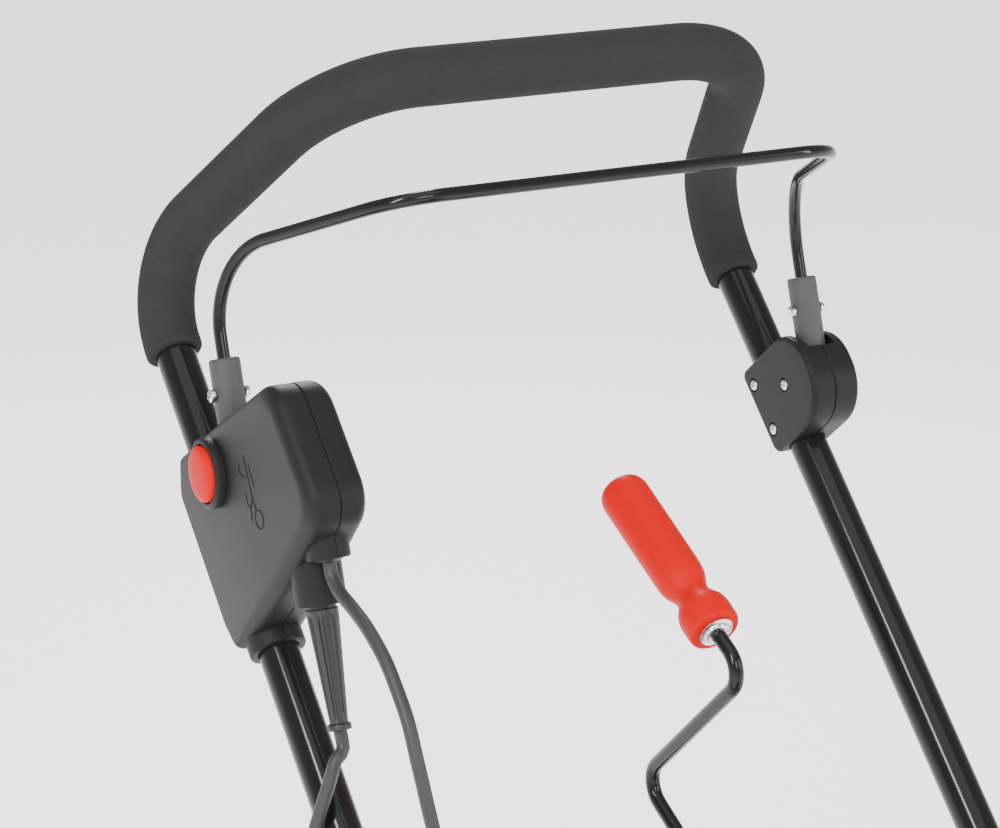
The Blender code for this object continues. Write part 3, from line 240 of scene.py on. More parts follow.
def frame_matrix(origin, z_axis, x_axis=X_AXIS):
    z = Vector(z_axis).normalized()
    y = z.cross(Vector(x_axis)).normalized()
    x = y.cross(z)
    return Matrix.Translation(origin) @ Matrix((x, y, z)).transposed().to_4x4()


TUBE_FRAME = Matrix.Translation(KNEE) @ Matrix(((0, 0, 1), (-SIN, -COS, 0), (COS, -SIN, 0))).to_4x4()


def add(name, mesh, mat, matrix=None, smooth=40):
    """A new object whose vertices are already in the row frame."""
    if matrix is not None:
        mesh.transform(matrix)
    mesh.materials.clear()
    mesh.materials.append(mat)
    mesh.shade_smooth()
    mesh.set_sharp_from_angle(angle=math.radians(smooth))
    obj = bpy.data.objects.new(name, mesh)
    bpy.context.scene.collection.objects.link(obj)
    return obj


def body_of(node):
    return NODES[node]["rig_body"]


def stand_for(obj, *nodes):
    """obj rides with the body of the CAD nodes that it is shown in place of."""
    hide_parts(*nodes)
    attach(obj, body_of(nodes[0]))
    return obj


def detail(obj, node):
    """obj is a surface detail that moves with the node it sits on."""
    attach(obj, body_of(node))
    return obj


def rounded(corners, steps=12, closed=True):
    """A polyline through the corners, each (x, y, radius) or (Vector, radius), with arcs in the bends."""
    pts = [(Vector(c[:-1]) if len(c) > 2 else Vector(c[0]), c[-1]) for c in corners]
    out = []
    count = len(pts)
    for i, (p, radius) in enumerate(pts):
        if radius <= 0 or (not closed and i in (0, count - 1)):
            out.append(p.copy())
            continue
        before = (pts[i - 1][0] - p).normalized()
        after = (pts[(i + 1) % count][0] - p).normalized()
        half = before.angle(after) / 2
        reach = radius / math.tan(half)
        middle = p + (before + after).normalized() * (radius / math.sin(half))
        a, b = p + before * reach - middle, p + after * reach - middle
        turn = a.angle(b)
        for k in range(steps + 1):
            t = k / steps
            out.append(middle + (a * math.sin((1 - t) * turn) + b * math.sin(t * turn)) / math.sin(turn))
    return out


def resampled(points, spacing):
    """Points at equal steps along a polyline, its two ends kept."""
    lengths = [0.0]
    for a, b in zip(points, points[1:]):
        lengths.append(lengths[-1] + (b - a).length)
    count = max(1, round(lengths[-1] / spacing))
    out, i = [], 0
    for k in range(count + 1):
        at = lengths[-1] * k / count
        while i < len(points) - 2 and lengths[i + 1] < at:
            i += 1
        span = lengths[i + 1] - lengths[i]
        t = (at - lengths[i]) / span if span else 0
        out.append(points[i].lerp(points[i + 1], min(max(t, 0), 1)))
    return out


def smooth_route(points, per_span=24):
    """Dense points along a smooth curve through the given ones, in two or three dimensions."""
    pts = [Vector(p) for p in points]
    pts = [pts[0] * 2 - pts[1], *pts, pts[-1] * 2 - pts[-2]]
    dense = []
    for a, b, c, d in zip(pts, pts[1:], pts[2:], pts[3:]):
        for k in range(per_span):
            t = k / per_span
            dense.append(0.5 * ((2 * b) + (c - a) * t + (2 * a - 5 * b + 4 * c - d) * t * t
                                + (3 * b - a - 3 * c + d) * t ** 3))
    dense.append(pts[-2])
    return dense


def loft(rings):
    """A closed mesh through rings of equally many points, with a flat cap at each end."""
    bm = bmesh.new()
    rows = [[bm.verts.new(p) for p in ring] for ring in rings]
    count = len(rows[0])
    for low, high in zip(rows, rows[1:]):
        for k in range(count):
            n = (k + 1) % count
            bm.faces.new((low[k], low[n], high[n], high[k]))
    bm.faces.new(rows[0][::-1])
    bm.faces.new(rows[-1])
    bmesh.ops.recalc_face_normals(bm, faces=bm.faces)
    mesh = bpy.data.meshes.new("loft")
    bm.to_mesh(mesh)
    bm.free()
    return mesh


def rod(path, stations, sides=32):
    """A round body along a path, with stations as (place, radius): a negative place counts from the end."""
    lengths = [0.0]
    for a, b in zip(path, path[1:]):
        lengths.append(lengths[-1] + (b - a).length)
    total = lengths[-1]
    marks = [(at if at >= 0 else total + at, r) for at, r in stations]
    final = len(path) - 1
    tangents = [(path[min(i + 1, final)] - path[max(i - 1, 0)]).normalized() for i in range(final + 1)]
    across = tangents[0].orthogonal().normalized()
    frames = []
    for i, tangent in enumerate(tangents):
        across = (across - tangent * across.dot(tangent)).normalized()
        frames.append((across.copy(), tangent.cross(across)))
    first = [m for m in marks if m[0] < total / 2]
    last = [m for m in marks if m[0] >= total / 2]
    plain = first[-1][1]
    inside = [(at, plain) for at in lengths if first[-1][0] < at < last[0][0]]
    rings, i = [], 0
    for at, radius in first + inside + last:
        while i < len(path) - 2 and lengths[i + 1] < at:
            i += 1
        t = (at - lengths[i]) / (lengths[i + 1] - lengths[i])
        centre = path[i].lerp(path[i + 1], t)
        u, v = frames[i if t < 0.5 else i + 1]
        angles = [2 * math.pi * k / sides for k in range(sides)]
        rings.append([centre + (u * math.cos(a) + v * math.sin(a)) * radius for a in angles])
    return loft(rings)


def turned(profile, sides=64, flutes=None):
    """A closed solid of revolution about Z from (radius, z) points; flutes(z, angle) scales the radius."""
    rings = []
    for radius, z in profile:
        ring = []
        for k in range(sides):
            a = 2 * math.pi * k / sides
            r = max(radius, 1e-5) * (flutes(z, a) if flutes else 1)
            ring.append((r * math.cos(a), r * math.sin(a), z))
        rings.append(ring)
    return loft(rings)


def inset(outline, wall, tube_side=1.0):
    """The outline moved in by wall, or by tube_side times that beside the tube. Its inside is on the left."""
    pts = [Vector(p[:2]) for p in outline]
    out = []
    for i, p in enumerate(pts):
        before = (p - pts[i - 1]).normalized()
        after = (pts[(i + 1) % len(pts)] - p).normalized()
        normal = (Vector((-before.y, before.x)) + Vector((-after.y, after.x))).normalized()
        lean = normal.dot(Vector((-before.y, before.x)))
        depth = wall * (tube_side if p.x < BESIDE_TUBE else 1.0)
        out.append((*(p - normal * depth / lean), max(outline[i][2] - depth * 0.5, 0.0012)))
    return out


def moulded_half(outline, seam, face, rise, run, tube_side=1.0, edge=0.0006):
    """One half of a casing: a slab from its seam to its face, whose rim curves in by run over rise."""
    way = 1 if face > seam else -1
    levels = [(seam, edge), (seam + way * edge, 0.0)]
    for k in range(11):
        a = math.pi / 2 * k / 10
        levels.append((face - way * rise * (1 - math.sin(a)), run * (1 - math.cos(a))))
    rings = [[(p.x, p.y, z) for p in rounded(inset(outline, wall, tube_side))] for z, wall in levels]
    return loft(rings)


def half_boss(start, axis, side, radius, bore, length, edge=0.0012):
    """Half of a round boss on one side of the seam plane, along axis from start, bored at its end."""
    place = frame_matrix(start, axis)
    rings = []
    for r, z in ((radius, 0), (radius, length - edge), (radius - edge * 0.3, length - edge * 0.3),
                 (radius - edge, length), (bore, length), (bore, length - 0.010)):
        arc = [(r * math.sin(a) * side + side * GAP / 2, -r * math.cos(a), z)
               for a in (math.pi * k / 32 for k in range(33))]
        rings.append(arc)
    mesh = loft(rings)
    mesh.transform(place)
    return mesh


def joined(*meshes):
    """Several meshes as one."""
    bm = bmesh.new()
    for mesh in meshes:
        bm.from_mesh(mesh)
    out = bpy.data.meshes.new("joined")
    bm.to_mesh(out)
    bm.free()
    return out


def carve(mesh, *cutters):
    """The mesh with closed cutter meshes taken away."""
    target = bpy.data.objects.new("carve_target", mesh)
    bpy.context.scene.collection.objects.link(target)
    tools = []
    for cutter in cutters:
        tool = bpy.data.objects.new("carve_tool", cutter)
        bpy.context.scene.collection.objects.link(tool)
        boolean = target.modifiers.new("Boolean", "BOOLEAN")
        boolean.operation = "DIFFERENCE"
        boolean.solver = "EXACT"
        boolean.object = tool
        tools.append(tool)
    bpy.context.view_layer.update()
    evaluated = target.evaluated_get(bpy.context.evaluated_depsgraph_get())
    out = bpy.data.meshes.new_from_object(evaluated)
    for obj in (target, *tools):
        bpy.data.objects.remove(obj, do_unlink=True)
    return out


def box(low, high):
    x0, y0, z0 = low
    x1, y1, z1 = high
    ring = [(x0, y0), (x1, y0), (x1, y1), (x0, y1)]
    return loft([[(x, y, z0) for x, y in ring], [(x, y, z1) for x, y in ring]])


def round_bar(start, axis, radius, length, sides=32):
    mesh = turned([(radius, 0), (radius, length)], sides)
    mesh.transform(frame_matrix(start, axis, X_AXIS if abs(Vector(axis).normalized().x) < 0.9 else Z_AXIS))
    return mesh


# ---------------------------------------------------------------- cords
def supply_route():
    exit_point = on_tube(*SUPPLY_BOSS_END, -TUBE_X) + HANGING * RELIEF_LENGTH
    drop = [on_tube(s, d, x) for s, d, x in SUPPLY_CORD_BY_TUBE]
    return [exit_point + HANGING * GAP, exit_point + HANGING * 0.012, *drop,
            (-0.2270, 0.2720, 0.5900), (-0.2275, 0.2730, 0.5500),
            (-0.2275, 0.2730, 0.5000), (-0.2275, 0.2730, 0.4500)]


def motor_route():
    exit_point = on_tube(*MOTOR_BOSS_END, -TUBE_X) + HANGING * GROMMET_PROUD
    beside = [on_tube(s, d, x) for s, d, x in MOTOR_CABLE_BY_TUBE]
    return [exit_point + HANGING * GAP, exit_point + HANGING * 0.007, *beside,
            MOTOR_ENTRY - Vector((0.0220, 0, 0)), MOTOR_ENTRY - Vector((0.0120, 0, 0)), MOTOR_ENTRY]


def supply_plug(end):
    place = Matrix.Translation(Vector(end) - Vector((0, 0, GAP))) @ Matrix.Rotation(math.pi, 4, "X")

    def ribs(z, angle):
        return 1 - (0.05 if 0.034 < z < 0.049 and (angle * 12 / math.pi) % 2 > 1.2 else 0)

    body = turned([(0.0044, 0.0), (0.0060, 0.0), (0.0065, 0.0030), (0.0070, 0.0060), (0.0062, 0.0066),
                   (0.0062, 0.0078), (0.0078, 0.0084), (0.0090, 0.0130), (0.0110, 0.0200), (0.0140, 0.0260),
                   (0.0170, 0.0310), (0.0180, 0.0345), (0.0180, 0.0480), (0.0176, 0.0505), (0.0165, 0.0520),
                   (0.0110, 0.0520)], 96, ribs)
    pins = [turned([(0.0024, 0.045), (0.0024, 0.0690), (0.0016, 0.0708)], 24) for _ in (0, 1)]
    for pin, side in zip(pins, (-1, 1)):
        pin.transform(Matrix.Translation((side * 0.0095, 0, 0)))
    plug = stand_for(add("plug_body", body, BLACK_RUBBER, place), "supply_plug")
    metal = detail(add("plug_pins", joined(*pins), ZINC, place), "supply_plug")
    return [plug, metal]


def cords():
    pieces = supply_plug(supply_route()[-1])
    line = resampled(smooth_route(supply_route()), 0.005)
    curve = bpy.data.curves.new("supply_cord_line", "CURVE")
    curve.dimensions = "3D"
    curve.bevel_depth = CABLE_R
    curve.bevel_resolution = 8
    spline = curve.splines.new("POLY")
    spline.points.add(len(line) - 1)
    for point, p in zip(spline.points, line):
        point.co = (*p, 1)
        point.radius = 1
    spline.use_smooth = True
    curve.materials.append(CABLE_RUBBER)
    cord = bpy.data.objects.new("supply_flex", curve)
    bpy.context.scene.collection.objects.link(cord)
    stand_for(cord, "supply_cord")

    run = resampled(smooth_route(motor_route()), 0.006)
    stations = [(0, CABLE_R), (0.0002, CABLE_R), (-0.0002, CABLE_R), (-0.0001, CABLE_R)]
    cable = add("motor_flex", rod(run, stations, 24), CABLE_RUBBER)
    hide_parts("motor_cable")
    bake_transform(cable)


# ---------------------------------------------------------------- handle
def loop_path(tube_end, steps=24):
    half = [(on_tube(tube_end, 0, TUBE_X), 0), (on_tube(0, 0, TUBE_X), KNEE_BEND_R),
            (KNEE + LOOP_CORNER, CORNER_BEND_R)]
    mirrored = [(Vector((-p.x, p.y, p.z)), r) for p, r in half]
    return resampled(rounded(mirrored + half[::-1], steps, closed=False), 0.0035)


def loop_tube():
    inner = TUBE_R - TUBE_LIP
    stations = [(0, inner), (0.0001, TUBE_R), (0.02, TUBE_R),
                (-0.02, TUBE_R), (-0.0001, TUBE_R), (-0.00005, inner)]
    skin = rod(loop_path(UPPER_TUBE_END), stations, 48)
    stand_for(add("loop_tube", skin, BLACK_PAINT, smooth=50), "handle_loop_tube")


def foam_sleeve():
    lip = 0.0022
    angles = [math.pi / 8 * k for k in range(5)]
    arc = [(lip * (1 - math.cos(a)), FOAM_R - lip * (1 - math.sin(a))) for a in angles]
    round_in = [(0.0, TUBE_R + 0.0002)] + [(at + 1e-5 * k, r) for k, (at, r) in enumerate(arc)]
    round_out = [(-at - 1e-6, r) for at, r in round_in[::-1]]
    foam = rod(loop_path(FOAM_END), round_in + round_out, 48)
    stand_for(add("foam_sleeve", foam, FOAM, smooth=60), "foam_grip")


# ---------------------------------------------------------------- switch box and bracket
def casing_tools(x, low):
    """What is taken out of a casing: the handle tube, and the slot its bail socket swings in."""
    tube = round_bar(on_tube(0.08, 0, x), DOWN_TUBE, TUBE_R + GAP, 0.30, 48)
    outline = [(low, 0.1200), (0.0670, 0.1200), (0.0600, 0.1500), (0.0500, 0.1720), (low, 0.1720)]
    half = SOCKET_R + 0.0016
    slot = loft([[(d, s, z) for d, s in outline] for z in (-half, half)])
    slot.transform(Matrix.Translation((x, 0, 0)) @ TUBE_FRAME)
    return tube, slot


def switch_box():
    x = -TUBE_X
    place = Matrix.Translation((x, 0, 0)) @ TUBE_FRAME
    boss = 0.030
    for name, node, side, face, chamfer in (("switch_case_outer", "switch_box_outer", -1, -BOX_OUT, 0.0105),
                                            ("switch_case_inner", "switch_box_inner", 1, BOX_IN, 0.0070)):
        shell = moulded_half(BOX_OUTLINE, side * GAP / 2, face, 0.0080, chamfer, 0.35)
        shell.transform(place)
        shell = carve(shell, *casing_tools(x, 0.0190))
        extras = [half_boss(on_tube(*COLLAR_AT, x), DOWN_TUBE, side, 0.0172, TUBE_R + GAP, 0.034)]
        for end, radius in ((MOTOR_BOSS_END, MOTOR_BOSS_R), (SUPPLY_BOSS_END, SUPPLY_BOSS_R)):
            root = on_tube(*end, x) - HANGING * boss
            extras.append(half_boss(root, HANGING, side, radius, BOSS_BORE, boss))
        stand_for(add(name, joined(shell, *extras), DARK_PLASTIC, smooth=32), node)


def safety_button():
    face = -TUBE_X - BOX_OUT
    out = frame_matrix(on_tube(*BUTTON_AT, face), -X_AXIS, Z_AXIS)
    bore = BUTTON_R + 0.0006
    collar = turned([(bore, 0.0002), (0.0212, 0.0002), (0.0212, 0.0040), (0.0207, 0.0054), (0.0196, 0.0062),
                     (0.0182, 0.0062), (bore, 0.0056), (bore, 0.0010)], 96)
    stand_for(add("button_bezel", collar, DARK_PLASTIC, out), "button_collar")
    dome = turned([(0.0100, -0.0024), (0.0105, -0.0020), (0.0105, 0.0044), (BUTTON_R, 0.0046),
                   (BUTTON_R, 0.0068), (0.0166, 0.0080), (0.0156, 0.0090), (0.0135, 0.0097), (0.0100, 0.0101),
                   (0.0050, 0.0104), (0.0006, 0.0104)], 96)
    stand_for(add("button_cap", dome, RED_PLASTIC, out), "safety_button")


def pictogram():
    """A generic engraved hint of a hand lever, an arrow and a cable loop, its strokes in painted shade darker
    than the case.
    """
    s0, d0 = PICTOGRAM_AT
    strokes = [
        [(-0.020, 0.006), (-0.012, 0.004), (0.004, -0.001), (0.012, -0.002)],
        [(-0.020, -0.004), (-0.014, -0.006), (-0.009, -0.001)],
        [(-0.012, 0.009), (-0.006, 0.007), (0.002, 0.006)],
        [(0.012, -0.002), (0.016, 0.003), (0.021, 0.003), (0.024, -0.002), (0.021, -0.007), (0.015, -0.007),
         (0.012, -0.002)],
        [(0.004, -0.001), (0.008, -0.008), (0.014, -0.012)],
        [(-0.003, -0.008), (0.004, -0.010), (0.008, -0.008)],
    ]
    x = -TUBE_X - BOX_OUT + 0.0003
    meshes = []
    for stroke in strokes:
        line = [on_tube(s0 + along, d0 + off, x) for along, off in stroke]
        path = resampled(smooth_route(line), 0.0008)
        meshes.append(rod(path, [(0, 0.0004), (0.0004, 0.0006), (-0.0004, 0.0006), (-0.0001, 0.0004)], 8))
    detail(add("pictogram", joined(*meshes), PAINTED_SHADE), "switch_box_outer")


def clamp_bracket():
    x = TUBE_X
    place = Matrix.Translation((x, 0, 0)) @ TUBE_FRAME
    for name, node, side, face in (("bracket_inner", "clamp_bracket_inner", -1, -BRACKET_IN),
                                   ("bracket_outer", "clamp_bracket_outer", 1, BRACKET_OUT)):
        shell = moulded_half(BRACKET_OUTLINE, side * GAP / 2, face, 0.0036, 0.0036)
        shell.transform(place)
        shell = carve(shell, *casing_tools(x, 0.0175), *(screw_recesses() if side < 0 else ()))
        stand_for(add(name, shell, DARK_PLASTIC, smooth=32), node)
    for k, (s, d) in enumerate(BRACKET_SCREWS):
        out = frame_matrix(on_tube(s, d, x - BRACKET_IN + SCREW_SINK), -X_AXIS, Z_AXIS)
        # Painted shade: a thin dark cup lining the bottom of each screw recess.
        recess_shade = turned([(0.0047, 0.0001), (0.0047, 0.0009), (0.0045, 0.0009), (0.0045, 0.0002),
                       (0.0010, 0.0002)], 48)
        detail(add(f"screw_recess_shade_{k + 1}", recess_shade, PAINTED_SHADE, out), "clamp_bracket_inner")
        head = add(f"cross_screw_{k + 1}", cross_head(0.0036, 0.0022), ZINC, out)
        stand_for(head, f"bracket_screw_{k + 1}")


def screw_recesses():
    """The round wells in the bracket's inner face that its screw heads sit in."""
    start = TUBE_X - BRACKET_IN - 0.01
    return [round_bar(on_tube(s, d, start), X_AXIS, 0.0048, 0.01 + SCREW_SINK, 48) for s, d in BRACKET_SCREWS]


def cross_head(radius, height):
    """A domed screw head with a cross recess, its seat at z = 0."""
    head = turned([(radius, 0.0), (radius, height * 0.4), (radius * 0.9, height * 0.72),
                   (radius * 0.6, height * 0.94), (radius * 0.1, height)], 48)
    arm, half = radius * 0.62, radius * 0.15
    low, high = height * 0.45, height * 2
    bars = [box((-arm, -half, low), (arm, half, high)), box((-half, -arm, low), (half, arm, high))]
    return carve(head, *bars)


# ---------------------------------------------------------------- bail
def bail_path():
    top = on_tube(*SOCKET_TOP, BAIL_X) + HANGING * 0.0260
    leg = KNEE + Vector((BAIL_X, -0.1055, 0.0294))
    bar = KNEE + Vector((0.1473, -0.2445, 0.0847))
    half = [(top, 0), (leg, 0.052), (bar, 0.040)]
    mirrored = [(Vector((-p.x, p.y, p.z)), r) for p, r in half]
    return resampled(rounded(mirrored + half[::-1], 20, closed=False), 0.0025)


def bail():
    path = bail_path()
    skin = rod(path, [(0, BAIL_R), (0.001, BAIL_R), (-0.001, BAIL_R), (-0.0001, BAIL_R)], 32)
    stand_for(add("bail_bar", skin, BLACK_PAINT), "bail_rod")
    pivot = on_tube(*BAIL_PIVOT)
    for side, name in ((-1, "right"), (1, "left")):
        x = side * BAIL_X
        top = on_tube(*SOCKET_TOP, x)
        length = (pivot - on_tube(*SOCKET_TOP)).length
        sleeve = turned([(BAIL_R + 0.0002, 0.004), (BAIL_R + 0.0002, 0.0004), (0.0070, 0.0), (0.0085, 0.0002),
                         (0.0093, 0.0010), (SOCKET_R, 0.0024), (SOCKET_R, length + 0.004),
                         (0.0080, length + 0.006), (0.0010, length + 0.006)])
        sleeve.transform(frame_matrix(top, HANGING))
        hub = round_bar(Vector((x - 0.0105, pivot.y, pivot.z)), X_AXIS, 0.0118, 0.0210, 48)
        trunnion = round_bar(Vector((side * TUBE_X - 0.0145, pivot.y, pivot.z)), X_AXIS, 0.0050, 0.0290)
        stand_for(add(f"socket_{name}", joined(sleeve, hub, trunnion), GREY_PLASTIC), f"bail_socket_{name}")
        bolt_at = top + HANGING * 0.0215
        across = frame_matrix(bolt_at, (side, 0, 0), Z_AXIS)
        reach = SOCKET_R + GAP
        head = cross_head(0.0040, 0.0036)
        head.transform(Matrix.Translation((0, 0, reach)))
        nut = turned([(0.0004, -reach - 0.0034), (0.0022, -reach - 0.0034), (0.0038, -reach - 0.0024),
                      (0.0038, -reach)], 6)
        bolt = add(f"cross_bolt_{name}", joined(head, nut), ZINC, across, smooth=30)
        stand_for(bolt, f"bail_bolt_{name}")


# ---------------------------------------------------------------- strain relief and grommet
def cable_exits():
    x = -TUBE_X

    def ribbed(z, angle):
        inside = 0.006 < z < RELIEF_LENGTH - 0.0045
        return 0.86 if inside and (angle * 8 / math.pi) % 2 > 1.1 else 1.0

    end = RELIEF_LENGTH
    start, run = 0.0045, end - 0.0130
    taper = [(RELIEF_TOP_R + (RELIEF_TIP_R - RELIEF_TOP_R) * k / 24, start + run * k / 24) for k in range(25)]
    profile = [(BOSS_BORE - GAP, -0.010), (BOSS_BORE - GAP, 0.0019), (0.0090, 0.0020),
               (RELIEF_TOP_R, 0.0026), *taper, (0.0054, end - 0.0042), (0.0068, end - 0.0034),
               (0.0070, end - 0.0028), (0.0070, end - 0.0004), (0.0066, end), (CABLE_R + GAP, end)]
    relief = turned(profile, 96, ribbed)
    hanging_from = frame_matrix(on_tube(*SUPPLY_BOSS_END, x), HANGING)
    stand_for(add("ribbed_relief", relief, BLACK_RUBBER, hanging_from, 30), "strain_relief")
    ring = turned([(CABLE_R + GAP, -0.006), (CABLE_R + GAP, 0.0), (0.0060, 0.0002), (0.0072, -0.0002),
                   (BOSS_BORE - GAP, -0.0014), (BOSS_BORE - GAP, -0.0120)], 64)
    exit_point = on_tube(*MOTOR_BOSS_END, x) + HANGING * GROMMET_PROUD
    stand_for(add("round_grommet", ring, BLACK_RUBBER, frame_matrix(exit_point, HANGING)), "cable_grommet")


# ---------------------------------------------------------------- crank
def crank_point(y):
    return Vector((0, y, CRANK_LOW.z + (y - CRANK_LOW.y) * math.tan(CRANK_TILT)))


def crank():
    end_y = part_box("crank_rod")[0].y
    path = rounded([(crank_point(end_y + 0.002), 0), (CRANK_LOW, 0.015), (CRANK_TOP, 0.014),
                    (CRANK_TOP + CRANK_DIR * 0.150, 0)], 20, closed=False)
    stations = [(0, CRANK_R - 0.0006), (0.0006, CRANK_R), (-0.0006, CRANK_R), (-0.0001, CRANK_R)]
    stand_for(add("crank_bar", rod(resampled(path, 0.003), stations, 32), BLACK_PAINT), "crank_rod")
    along = frame_matrix(CRANK_TOP + CRANK_DIR * GRIP_START, CRANK_DIR)
    end = GRIP_LENGTH
    body = smooth_route([(0.0150, 0.0002), (0.0158, 0.0020), (0.0160, 0.0060), (0.0160, 0.0125),
                         (0.0150, 0.0175), (0.0124, 0.0222), (0.0109, 0.0258), (0.0106, 0.0290),
                         (0.0115, 0.0325), (0.0134, 0.0370), (0.0147, 0.0430), (0.0150, 0.0560),
                         (0.0151, 0.0850), (0.0152, end - 0.0120), (0.0147, end - 0.0062),
                         (0.0130, end - 0.0024), (0.0092, end - 0.0004), (0.0004, end)], 6)
    bore = [(CRANK_R + GAP, 0.010), (CRANK_R + GAP, 0.0), (0.0140, 0.0)]
    profile = bore + [(max(p.x, 0.0002), min(p.y, end)) for p in body]
    stand_for(add("grip_sleeve", turned(profile, 80), RED_PLASTIC, along, 50), "crank_grip")
    washer = turned([(CRANK_R + GAP, -0.0002), (0.0102, -GAP), (0.0105, -0.0006), (0.0105, -0.0014),
                     (0.0102, -0.0016), (0.0078, -0.0017), (0.0075, -0.0030), (0.0070, -0.0034),
                     (CRANK_R + GAP, -0.0034)], 64)
    stand_for(add("grip_end_washer", washer, ZINC, along), "grip_washer")


# ---------------------------------------------------------------- lower machine
def lower_handle():
    for side, name in ((-1, "right"), (1, "left")):
        x = side * LOWER_X
        line = resampled([on_tube(LOWER_START, 0, x), on_tube(LOWER_END, 0, x)], 0.02)
        inner = TUBE_R - TUBE_LIP
        skin = rod(line, [(0, inner), (0.0002, TUBE_R), (-0.0002, TUBE_R), (-0.0001, inner)], 48)
        stand_for(add(f"lower_bar_{name}", skin, BLACK_PAINT, smooth=50), f"lower_tube_{name}")


def tread(angle, z):
    """Tyre lugs: raised blocks with grooves across the running band, offset between the two rows."""
    row = 0 if z > 0 else 0.5
    return 0.975 if (angle * 14 / math.pi + row) % 1 > 0.68 and abs(z) > 0.0015 else 1.0


def wheels():
    w = WHEEL_W / 2
    for side, name in ((-1, "right"), (1, "left")):
        place = frame_matrix(Vector((side * WHEEL_X, AXLE_Y, WHEEL_R)), (side, 0, 0), Z_AXIS)
        rings = [(0.0692, w - 0.0010), (0.0700, w), (0.0760, w), (0.0820, w - 0.0006), (0.0862, w - 0.0030),
                 (0.0888, w - 0.0070), (WHEEL_R, w - 0.0105), (WHEEL_R, 0.0030), (0.0878, 0.0020)]
        rings += [(radius, -z) for radius, z in rings[::-1]]

        def lugs(z, angle):
            return tread(angle, z) if abs(z) < w - 0.006 else 1.0

        tyre = turned(rings, 168, lugs)
        stand_for(add(f"treaded_tyre_{name}", tyre, TYRE_RUBBER, place, 28), f"tyre_{name}")


def vent_shade_plates():
    """Painted shade: dark slot shapes on the motor cover's two sides, standing in for the shade inside its
    vents.
    """
    low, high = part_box("motor_cover")
    for side in (-1, 1):
        x = low.x if side < 0 else high.x
        shade_plates = []
        for k in range(6):
            z = 0.236 + 0.011 * k
            front, back = -0.205 + 0.004 * k, -0.100 - 0.002 * k
            slot = box((-0.0004, front, z), (0.0004, back, z + 0.0045))
            slot.transform(Matrix.Translation((x, 0, 0)))
            shade_plates.append(slot)
        detail(add(f"vent_shade_plates_{'right' if side < 0 else 'left'}", joined(*shade_plates), PAINTED_SHADE), "motor_cover")


def housing_trim():
    """The bolts that hold the auger housing's right end plate."""
    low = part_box("auger_housing")[0]
    heads = []
    for y, z in ((-0.300, 0.060), (-0.300, 0.250), (-0.470, 0.270), (-0.480, 0.030)):
        head = turned([(0.0058, 0.0), (0.0058, 0.0030), (0.0050, 0.0038), (0.0004, 0.0038)], 6)
        washer = turned([(0.0078, 0.0), (0.0078, 0.0010), (0.0050, 0.0012), (0.0004, 0.0012)], 40)
        bolt = joined(head, washer)
        bolt.transform(frame_matrix(Vector((low.x, y, z)), -X_AXIS, Z_AXIS))
        heads.append(bolt)
    detail(add("housing_bolts_right", joined(*heads), ZINC), "auger_housing")


FINISHES = {
    "crossbar": BLACK_PAINT, "crank_eye": BLACK_PLASTIC, "fold_bolt_left": ZINC, "fold_bolt_right": ZINC,
    "rear_frame": DARK_PLASTIC, "auger_housing": DARK_PLASTIC, "scraper_bar": STEEL, "motor": ALLOY,
    "motor_cover": RED_PLASTIC, "belt_cover": DARK_PLASTIC, "chute_collar": DARK_PLASTIC, "axle": STEEL,
    "drive_belt": BLACK_RUBBER, "auger_bearing_left": STEEL, "auger_bearing_right": STEEL,
    "switch_module": BLACK_PLASTIC, "cable_clip": BLACK_PLASTIC, "button_spring": ZINC,
    "fold_knob_left": BLACK_PLASTIC, "fold_knob_right": BLACK_PLASTIC, "crank_pinion": BLACK_PLASTIC,
    "chute": DARK_PLASTIC, "deflector_pin": ZINC, "chute_deflector": DARK_PLASTIC, "auger_shaft": STEEL,
    "auger_rotor": TYRE_RUBBER, "auger_pulley": BLACK_PLASTIC, "motor_pulley": STEEL,
    "wheel_rim_left": DARK_PLASTIC, "wheel_rim_right": DARK_PLASTIC,
}
SOFTENED = {
    "rear_frame": 0.0008, "auger_housing": 0.0010, "belt_cover": 0.0008, "chute_collar": 0.0006,
    "crank_eye": 0.0006, "scraper_bar": 0.0004, "cable_clip": 0.0005, "auger_pulley": 0.0004,
    "fold_knob_left": 0.0008, "fold_knob_right": 0.0008, "chute": 0.0006, "chute_deflector": 0.0006,
    "motor_cover": 0.0008, "auger_rotor": 0.0008,
}


def finish_cad_nodes():
    for name, mat in FINISHES.items():
        node = NODES[name]
        node.data.materials.clear()
        node.data.materials.append(mat)
        width = SOFTENED.get(name)
        if width:
            bevel = node.modifiers.new("Bevel", "BEVEL")
            bevel.width = width
            bevel.segments = 2
            bevel.limit_method = "ANGLE"
            bevel.angle_limit = math.radians(38)
            bevel.harden_normals = True


# ---------------------------------------------------------------- studio
def studio_floor():
    disc = bpy.data.meshes.new("floor_disc")
    bm = bmesh.new()
    bmesh.ops.create_circle(bm, cap_ends=True, segments=96, radius=40)
    bm.to_mesh(disc)
    bm.free()
    floor = bpy.data.objects.new("floor", disc)
    floor.location = (0, 0, -0.0005)
    paint = material("floor_paint", (0.90, 0.90, 0.90), 0.80, mottle=0, specular=0.1)
    shader = paint.node_tree.nodes["Principled BSDF"]
    shader.inputs["Emission Color"].default_value = (1, 1, 1, 1)
    shader.inputs["Emission Strength"].default_value = 1.3
    disc.materials.append(paint)
    bpy.context.scene.collection.objects.link(floor)


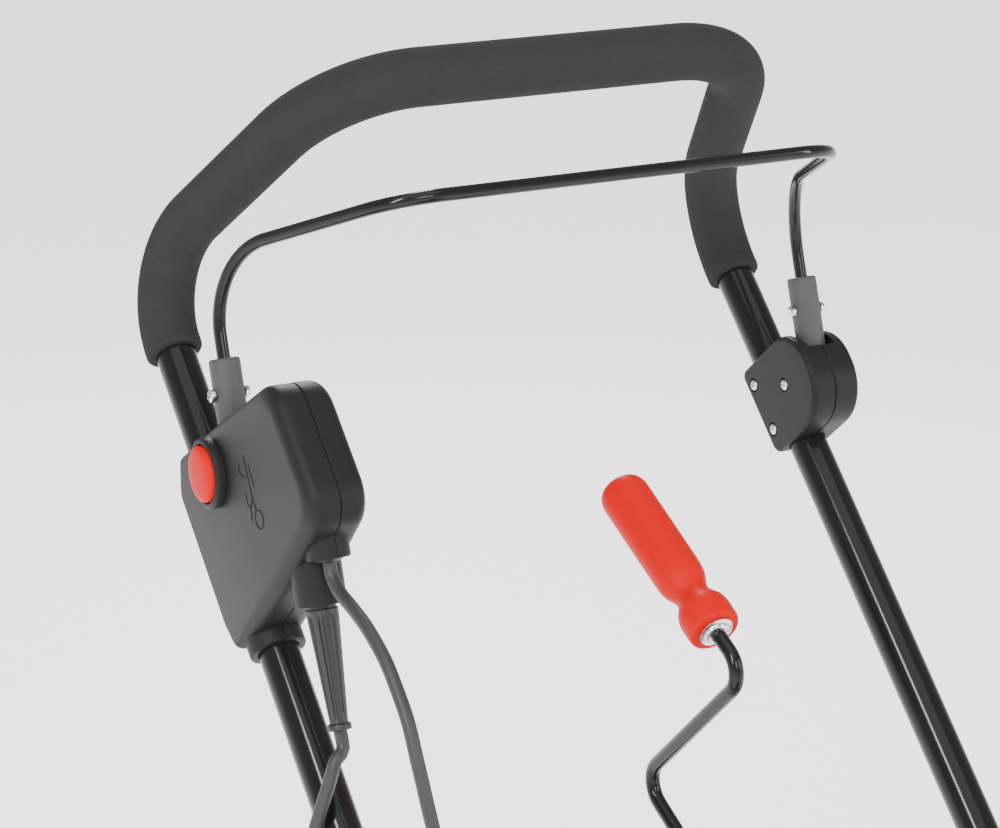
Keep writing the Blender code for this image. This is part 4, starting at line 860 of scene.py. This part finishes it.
def studio_world():
    world = bpy.data.worlds.new("studio")
    bpy.context.scene.world = world
    world.use_nodes = True
    tree = world.node_tree
    background = tree.nodes["Background"]
    background.inputs["Strength"].default_value = 1.0
    place = tree.nodes.new("ShaderNodeTexCoord")
    split = tree.nodes.new("ShaderNodeSeparateXYZ")
    ramp = tree.nodes.new("ShaderNodeValToRGB")
    ramp.color_ramp.elements[0].position = 0.0
    ramp.color_ramp.elements[0].color = (1.0, 1.0, 1.0, 1)
    ramp.color_ramp.elements[1].position = 0.45
    ramp.color_ramp.elements[1].color = (0.40, 0.40, 0.41, 1)
    tree.links.new(place.outputs["Generated"], split.inputs["Vector"])
    tree.links.new(split.outputs["Z"], ramp.inputs["Fac"])
    tree.links.new(ramp.outputs["Color"], background.inputs["Color"])


LAMPS = (   # name, place, width, height, power
    ("key", (-2.4, -1.0, 2.6), 0.35, 1.8, 90), ("fill", (2.2, -1.9, 1.8), 0.5, 1.6, 45),
    ("front", (-0.6, -3.2, 2.6), 1.6, 1.6, 60), ("rim", (0.8, 2.6, 2.4), 0.4, 1.8, 60),
)


def studio_lamps():
    aim = KNEE - Vector((0, 0.2, 0.1))
    for name, spot, width, height, power in LAMPS:
        data = bpy.data.lights.new(name, "AREA")
        data.shape = "RECTANGLE"
        data.size = width
        data.size_y = height
        data.energy = power
        lamp = bpy.data.objects.new(name, data)
        lamp.location = spot
        lamp.rotation_euler = (aim - Vector(spot)).to_track_quat("-Z", "Y").to_euler()
        bpy.context.scene.collection.objects.link(lamp)
    data = bpy.data.lights.new("overhead", "SUN")
    data.energy = 1.2
    data.angle = math.radians(60)
    sun = bpy.data.objects.new("overhead", data)
    sun.rotation_euler = (math.radians(12), math.radians(-10), 0)
    bpy.context.scene.collection.objects.link(sun)


make_camera()
cords()
loop_tube()
foam_sleeve()
switch_box()
safety_button()
pictogram()
clamp_bracket()
bail()
cable_exits()
crank()
lower_handle()
wheels()
vent_shade_plates()
housing_trim()
finish_cad_nodes()
studio_floor()
studio_world()
studio_lamps()
